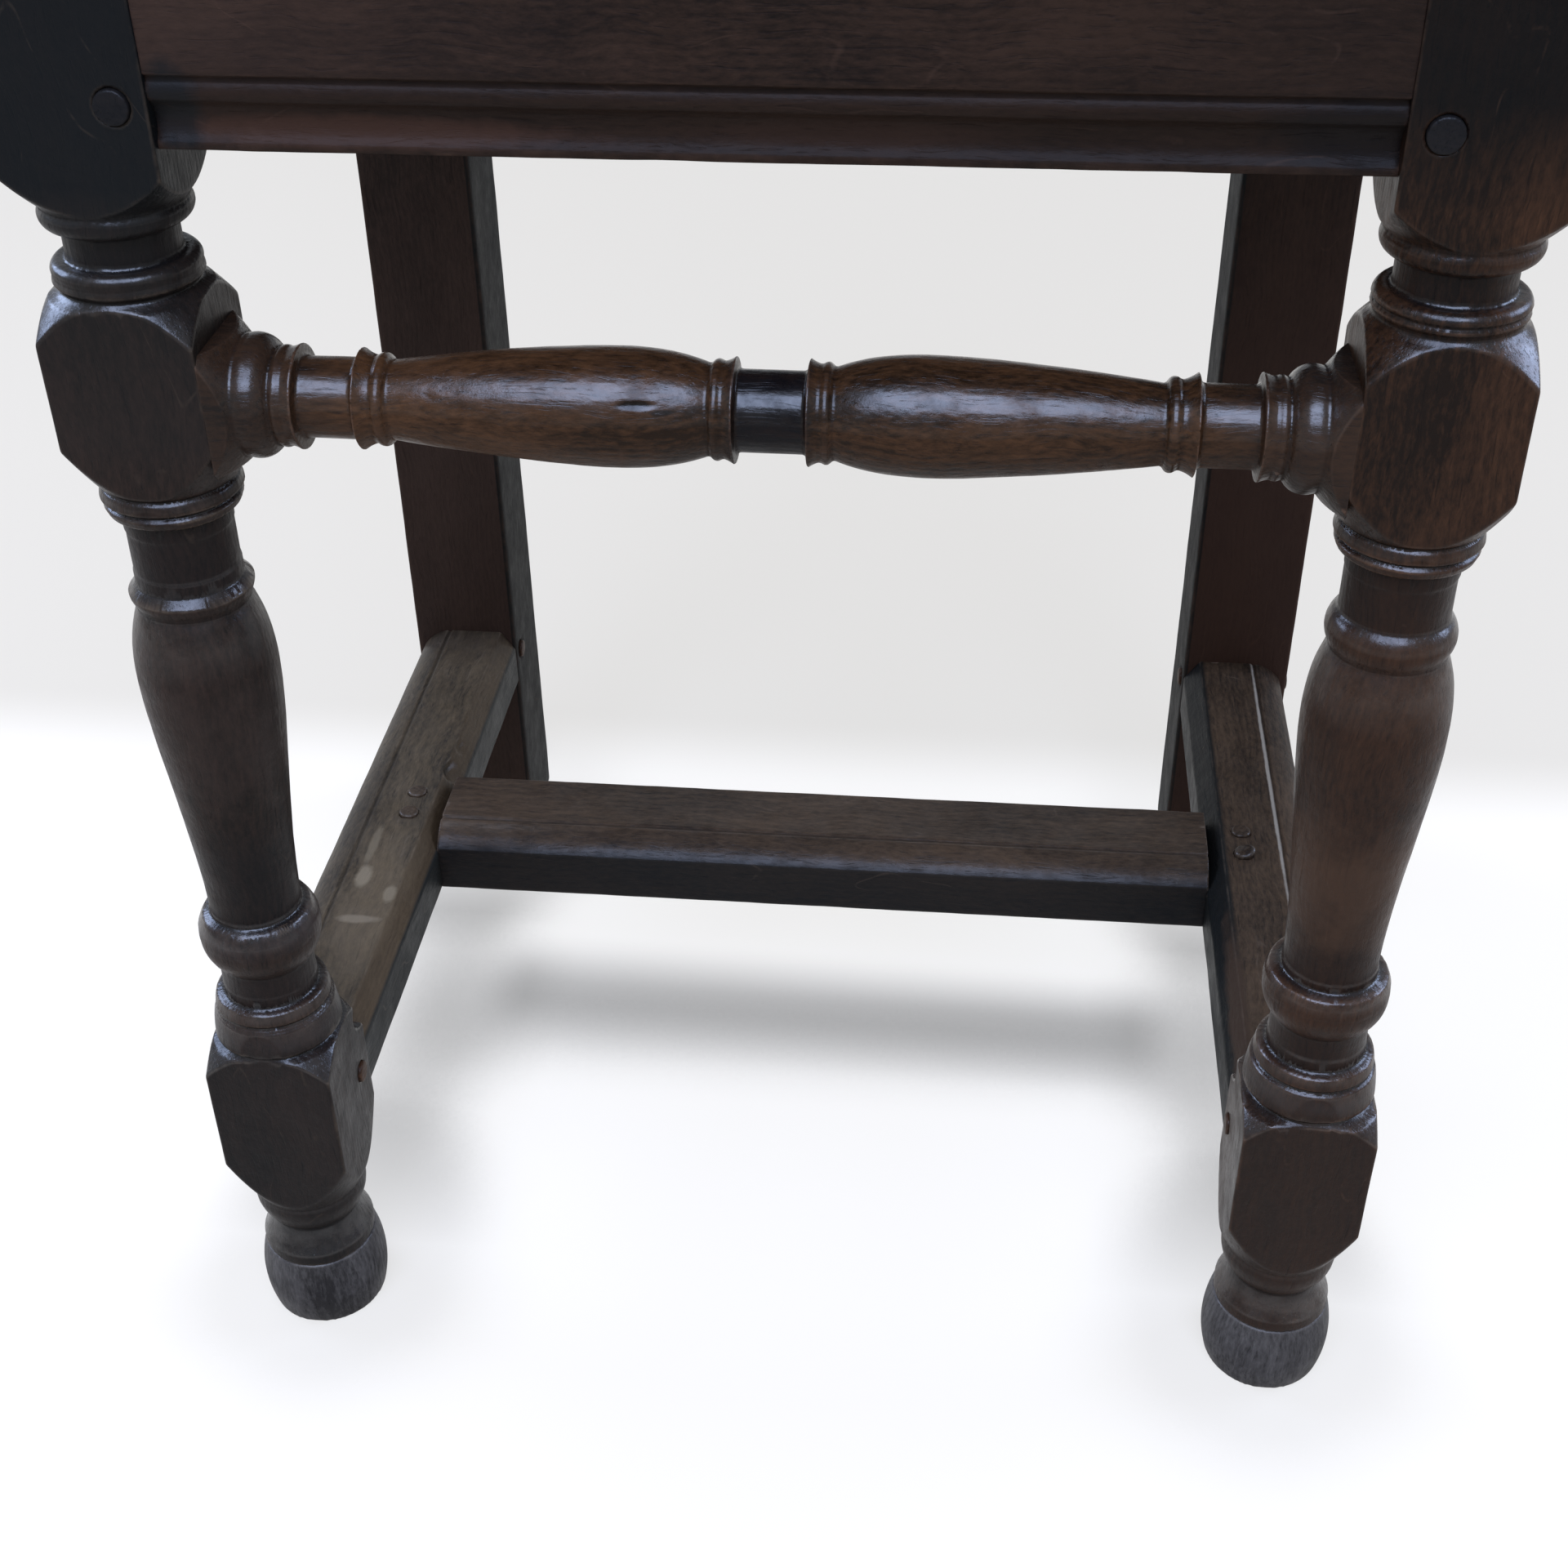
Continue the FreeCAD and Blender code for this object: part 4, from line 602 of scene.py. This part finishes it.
medial_oak = waxed_oak("boot_worn_oak_across", "X", BOOT_TONES, gloss=0.46, wear=0.9, polish=0.30, dust=0.1,
                       # painted shade: the upright front face is darkened and cooled
                       bands=[("Y", 0.0295, 0.0325, "#141719", 0.8)])
boot_oak = waxed_oak(
    "boot_worn_oak_right", "Y", BOOT_TONES, gloss=0.50, wear=1.2, polish=0.08, dust=0.05,
    # painted shade: the sloped inner arris and the inner face are darkened and cooled
    bands=[("X", 0.1668, 0.1652, "#0E1415", 0.9)],
    marks=[((163.5, -125, 115), (4.5, 75, 9), "#4A382B", 0.85),     # heels keep it bare
           ((188, 40, 116), (1.1, 125, 3), "#A79C8D", 0.85)])       # a pale line painted along the groove
pale_oak = waxed_oak(
    "boot_worn_oak_left", "Y", ("#151310", "#2E271F", "#665641", "#9C8B76"), gloss=0.50, wear=1.0, polish=0.2,
    dust=0.15,
    # the first band is the heels' bare slope; the second is painted shade, darkening the inner face
    bands=[("X", 0.1655, 0.1645, "#57442F", 0.5), ("X", 0.1594, 0.1586, "#1B2223", 0.85)],
    marks=[((-180, 150, 117), (40, 60, 15), "#342A21", 0.6),
           ((-174, -85, 117), (14, 60, 6), "#7C6A52", 0.35),
           ((-182, -42, 117), (2.2, 16, 4), "#8F8068", 0.45),
           ((-181, -63, 117), (4.0, 8, 4), "#9C8C73", 0.65),        # bruised pale
           ((-167.5, -73, 117), (3.0, 7, 4), "#9C8C73", 0.55),
           ((-176, -90, 117), (10, 3.0, 4), "#978770", 0.6),
           ((-163, -45, 114), (2.5, 30, 8), "#7D6B53", 0.2)])
board_oak = waxed_oak("seat_worn_oak", "X", ("#120D0B", "#2A1E18", "#5E4534", "#8A6A50"), gloss=0.36,
                      wear=0.9, polish=0.6)
peg_oak = waxed_oak("riven_peg_oak", "Y", ("#0C0908", "#1D130D", "#4E3321", "#7E5E47"), gloss=0.46, wear=0.3,
                    polish=0.2)
seat_peg_oak = waxed_oak("riven_peg_oak_dark", "Y", ("#08090A", "#121315", "#211E1D", "#2A2726"),
                         gloss=0.46, wear=0.2, polish=0.2)
boot_peg_oak = waxed_oak("riven_peg_oak_worn", "Z", ("#120F0D", "#2A2019", "#5C4A3A", "#8A7B6A"),
                         gloss=0.42, wear=0.5, polish=0.5)
print("finishes:", [material.name for material in bpy.data.materials])

# %% [markdown]
# ## Easing the arrises
#
# A joiner's arris is a tenth of a millimetre wide, and after three hundred years it is a millimetre or
# two. Bevelling every edge by hand would take a day, and the bevel modifier trips over the places
# where a lathe-cut shoulder runs out on a flat face. Here each piece is copied, its loose triangles
# are joined, and a voxel remesh gives it an even skin about a millimetre fine. Smoothing that skin
# wears the arrises first, as use does, and leaves the flats alone. Then a displacement of a few tenths
# of a millimetre, mostly inwards, takes away the machine flatness.

# %% Tools for one worn piece
WELD = 0.001 * MM
SMOOTHING = 0.5
INWARDS = 0.95               # the level of the texture at which the displacement turns outwards
BITE = 0.9 * MM              # how far a shoulder is let into its neighbour, so that no daylight shows
hand_work = bpy.data.textures.new("hand_work", "CLOUDS")
hand_work.noise_scale = 0.022
hand_work.noise_depth = 2


def only(piece):
    """Selects one piece and nothing else."""
    bpy.ops.object.select_all(action="DESELECT")
    piece.select_set(True)
    bpy.context.view_layer.objects.active = piece


def in_edit_mode(piece, tool, **settings):
    """Uses an edit mode tool on the whole of a piece."""
    only(piece)
    bpy.ops.object.mode_set(mode="EDIT")
    bpy.ops.mesh.select_all(action="SELECT")
    tool(**settings)
    bpy.ops.object.mode_set(mode="OBJECT")


def finish_modifier(piece, kind, **settings):
    """Adds a modifier, sets it and applies it."""
    only(piece)
    modifier = piece.modifiers.new(kind.lower(), kind)
    for key, value in settings.items():
        setattr(modifier, key, value)
    bpy.ops.object.modifier_apply(modifier=modifier.name)


def points_of(piece):
    """The corners of a mesh as rows of x, y, z."""
    flat = np.empty(len(piece.data.vertices) * 3, dtype=np.float32)
    piece.data.vertices.foreach_get("co", flat)
    return flat.reshape(-1, 3)


def set_points(piece, corners):
    """Writes the rows back."""
    piece.data.vertices.foreach_set("co", corners.astype(np.float32).ravel())
    piece.data.update()


def worn(node, skin, passes=3, waver=0.35, planed=(), bites=None):
    """A copy of a node with eased arrises. The skin is the remesh's cell and the waver its unevenness, in
    mm. Planed is a list of points and outward directions, where use has taken an arris off along a plane.
    Bites is the axis along which both ends are let into their neighbours."""
    piece = bpy.data.objects.new("worn_" + node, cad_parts[node].data.copy())
    bpy.context.scene.collection.objects.link(piece)
    in_edit_mode(piece, bpy.ops.mesh.remove_doubles, threshold=WELD)
    for point, outward in planed:
        in_edit_mode(piece, bpy.ops.mesh.bisect, plane_co=point, plane_no=outward, clear_outer=True,
                     use_fill=True)
    finish_modifier(piece, "REMESH", mode="VOXEL", voxel_size=skin * MM, use_smooth_shade=True)
    finish_modifier(piece, "SMOOTH", factor=SMOOTHING, iterations=passes)
    finish_modifier(piece, "DISPLACE", texture=hand_work, texture_coords="LOCAL",
                    strength=waver * MM, mid_level=INWARDS)
    if bites:
        low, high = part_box(node)
        run = "XYZ".index(bites)
        middle = (low[run] + high[run]) / 2
        longer = 1 + 2 * BITE / (high[run] - low[run])
        corners = points_of(piece)
        corners[:, run] = middle + (corners[:, run] - middle) * longer
        set_points(piece, corners)
    return piece


# %% [markdown]
# ## Dents, and a second turn on the lathe
#
# Smoothing is fair to every edge, but use isn't. A dent is made as with the grab brush in sculpt mode:
# the corners near a place move, most at its middle. And where the turner's tool left a quirk or a
# fillet that is still crisp, the smoothed skin goes back to a radius for each height.

# %% Tools for dents and turning
FILL_REACH = 2.0 * MM        # a full bead makes up no more than this


def pull(piece, place, reach, move):
    """Moves the corners near a place, most at the place and not at all past its reach. All in mm."""
    corners = points_of(piece)
    share = np.linalg.norm((corners - np.array(place) * MM) / (np.array(reach) * MM), axis=1)
    near = np.clip(1 - share, 0, 1)
    corners += (near * near * (3 - 2 * near))[:, None] * np.array(move) * MM
    set_points(piece, corners)


def turn_again(piece, axis, profile, full=False):
    """Takes a turned piece back to the lathe. The profile is a list of height and radius in mm, and what
    stands proud of it is cut away. Where full is set, what falls a little short of it is made up."""
    corners = points_of(piece)
    spokes = corners[:, :2] - np.array(axis) * MM
    radius = np.linalg.norm(spokes, axis=1)
    heights, radii = np.array(profile).T * MM
    limit = np.interp(corners[:, 2], heights, radii)
    within = (corners[:, 2] > heights[0]) & (corners[:, 2] < heights[-1])
    reached = within & ((radius > limit) | (full & (radius > limit - FILL_REACH)))
    corners[reached, :2] += (spokes * (limit / np.maximum(radius, MM) - 1)[:, None])[reached]
    set_points(piece, corners)


# %% [markdown]
# ## The turned pieces
#
# Each post is one length of oak, left square where a rail or a stretcher enters and turned between.
# The pieces that the photograph shows close up get the finest skin. The tables give, for each post,
# the quirks and fillets that are still crisp: pairs of a height and a radius in millimetres. The two
# differ, since the turner worked by eye. One disc of the high stretcher is broken, and its knot shrank.

# %% Turned pieces
BOTH_POSTS = [[(343.0, 18.9), (344.4, 20.4), (345.6, 20.6), (346.5, 20.0), (347.3, 18.8), (348.2, 20.7)],
              [(351.4, 20.9), (352.7, 19.4), (353.9, 20.9)],
              [(336.6, 16.3), (342.7, 16.3), (343.0, 18.9)]]
LEFT_POST = [[(134.6, 22.6), (135.7, 20.5), (136.5, 20.5), (137.6, 22.3)],
             [(148.4, 20.4), (149.4, 18.7), (150.3, 20.2)],
             [(154.6, 19.3), (155.4, 16.2), (160.0, 16.2)],
             [(189.4, 18.2), (190.2, 15.5), (192.5, 15.5)],
             [(315.2, 19.3), (318.6, 16.3), (323.6, 16.3)],
             [(410.6, 22.6), (411.7, 20.7), (412.8, 19.4), (413.5, 19.4), (414.3, 20.5), (415.3, 21.2)]]
RIGHT_POST = [[(133.2, 22.8), (134.4, 20.0), (135.6, 19.9), (137.0, 21.8)],
              [(147.6, 20.4), (148.6, 18.7), (149.6, 20.2)],
              [(153.8, 19.4), (154.7, 16.3), (160.0, 16.3)],
              [(187.4, 18.8), (188.4, 15.5), (192.5, 15.5)],
              [(410.8, 22.8), (412.2, 21.1), (413.6, 19.9), (414.8, 19.9), (415.8, 20.9), (416.6, 20.9),
               (417.2, 19.9), (418.0, 20.4)]]
FULL_BEAD = [(181.0, 20.6), (184.5, 20.3), (187.2, 19.2), (189.4, 17.9)]

FINEST_SKIN = 0.5            # cells in mm, from what the photograph shows closest to what it leaves out
FINE_SKIN = 0.65
BUN_SKIN = 0.8

pieces = {}                  # by node: the worn piece, its finish, its slot and the share of faces kept
for side, sign, oak, cuts in (("left", -1, left_oak, LEFT_POST), ("right", 1, right_oak, RIGHT_POST)):
    post = worn("front_post_" + side, FINE_SKIN, passes=2)
    axis = (sign * POST_AXLE[0] / MM, -POST_AXLE[1] / MM)
    pull(post, (sign * 157.5, -150.3, 126), (13, 11, 9), (sign * 2.5, -3.5, -4))
    turn_again(post, axis, FULL_BEAD, full=True)
    for profile in cuts + BOTH_POSTS:
        turn_again(post, axis, profile)
    pieces["front_post_" + side] = (post, oak, "turned_oak", 0.36)
    pieces["front_foot_" + side] = (worn("front_foot_" + side, BUN_SKIN), foot_oak_with_sheen, "turned_oak", 0.8)
stretcher = worn("front_stretcher", FINEST_SKIN, passes=2, bites="X")
pull(stretcher, (109, -174, 402), (4, 9, 5), (-0.6, 0, 1.6))
pull(stretcher, (108, -188, 391), (5, 6, 6), (0, 2.4, -1.0))
pull(stretcher, (-36, -189, 387), (8, 5, 1.6), (0, 0.5, 0))
pieces["front_stretcher"] = (stretcher, spindle_oak, "turned_oak", 0.45)
print("turned:", {node: len(entry[0].data.vertices) for node, entry in pieces.items()})

# %% [markdown]
# ## The low stretchers
#
# Three centuries of heels have worn their inner arrises to a slope, so those are planed off before the
# skin is made. A chip is gone from the left one, and one peg of the right one stands up.

# %% Low stretchers
HEEL_WORN = 6.5 * MM
HEEL_SLOPE = (-0.82, 0, 0.57)

for side, sign, oak in (("left", -1, pale_oak), ("right", 1, boot_oak)):
    node = "side_stretcher_" + side
    low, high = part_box(node)
    arris_x = min(abs(low[0]), abs(high[0])) + HEEL_WORN
    heel = [((sign * arris_x, 0, high[2]), (sign * HEEL_SLOPE[0], 0, HEEL_SLOPE[2]))]
    stretcher = worn(node, FINE_SKIN, passes=2, planed=heel, bites="Y")
    if side == "left":
        pull(stretcher, (-162, 16, 116), (6, 9, 7), (-3.0, 0, -1.5))
        pull(stretcher, (-162, 34, 116), (4, 6, 5), (-1.5, 0, -1.0))
    pieces[node] = (stretcher, oak, "frame_oak", 0.4)
medial = worn("medial_stretcher", FINE_SKIN, passes=2, bites="X")
pieces["medial_stretcher"] = (medial, medial_oak, "frame_oak", 0.4)
print("low stretchers worn, heels", round(HEEL_WORN / MM, 1), "mm into their inner arrises")

# %% [markdown]
# ## Posts, rails and boards
#
# What lies beyond the photograph's frame, the seat, the back and the hidden rails, is worn in the same
# way on a coarser skin. The moulding of the front rail hangs a little lower than it was set out.

# %% Posts, rails and boards
FRONT_RAIL_SKIN = 0.75
SIDE_RAIL_SKIN = 1.2
RAIL_SKIN = 1.4
BACK_POST_SKIN = 1.6
BOARD_SKIN = 1.8
RAIL_REACH = (2000, 60, 14)                      # mm, so wide that all of the rail's length moves alike
RAIL_HANGS = 2.1

for side, oak in (("left", back_left_oak), ("right", back_right_oak)):
    back_post = worn("back_post_" + side, BACK_POST_SKIN, passes=2)
    pieces["back_post_" + side] = (back_post, oak, "frame_oak", 0.3)
    node = "side_seat_rail_" + side
    pieces[node] = (worn(node, SIDE_RAIL_SKIN, passes=2, bites="Y"), side_oak, "frame_oak", 0.3)
for node in ("back_seat_rail", "back_lower_rail", "back_middle_rail", "crest_rail"):
    pieces[node] = (worn(node, RAIL_SKIN, passes=2, bites="X"), rail_oak, "frame_oak", 0.35)

front_rail = worn("front_seat_rail", FRONT_RAIL_SKIN, passes=1, bites="X")
low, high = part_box("front_seat_rail")
pull(front_rail, (0, low[1] / MM, low[2] / MM), RAIL_REACH, (0, 0, -RAIL_HANGS))
pieces["front_seat_rail"] = (front_rail, front_rail_oak, "frame_oak", 0.4)

for node in ("seat_board_front", "seat_board_rear", "back_panel_lower", "back_panel_upper"):
    pieces[node] = (worn(node, BOARD_SKIN, passes=2), board_oak, "board_oak", 0.35)
print("worn so far:", len(pieces), "of", len(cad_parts))

# %% [markdown]
# ## The pegs
#
# A drawbore peg is riven, tapered and driven until it fills its hole, so the displacement works
# outwards here. The pegs of the frame pull its tenons home, and nothing else holds it together.

# %% Pegs
PEG_OAKS = {"front_rail_pegs": seat_peg_oak, "medial_stretcher_pegs": boot_peg_oak}
PEG_SWELL = -0.4             # mm, a waver that works outwards

for node in ("front_rail_pegs", "side_rail_pegs", "back_rail_pegs", "front_stretcher_pegs",
             "side_stretcher_pegs", "medial_stretcher_pegs", "back_frame_pegs", "seat_pegs"):
    pegs = worn(node, FINEST_SKIN, passes=2, waver=PEG_SWELL)
    if node == "medial_stretcher_pegs":
        pull(pegs, (175, -18, 119), (9, 7.5, 8), (0.6, -0.8, 2.6))
    pieces[node] = (pegs, PEG_OAKS.get(node, peg_oak), "peg_oak", 0.3)

# %% [markdown]
# ## Settling the pieces
#
# The fine skin was needed to cut and dent, but flats don't need it to be seen. The Decimate modifier
# takes faces away where the surface is nearly flat. Then each piece gets its finish, rides on the
# chair's one body and takes the place of its node.

# %% Settle the worn pieces
for node, (piece, finish, slot, keep) in pieces.items():
    finish_modifier(piece, "DECIMATE", decimate_type="COLLAPSE", ratio=keep)
    piece.data.materials.clear()
    piece.data.materials.append(finish)
    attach(piece, "root")
    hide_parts(node)
    print(f"{piece.name}: {len(piece.data.polygons)} faces")
print("triangles in all:", sum(len(piece.data.loops) - 2 * len(piece.data.polygons)
                               for piece, finish, slot, keep in pieces.values()))
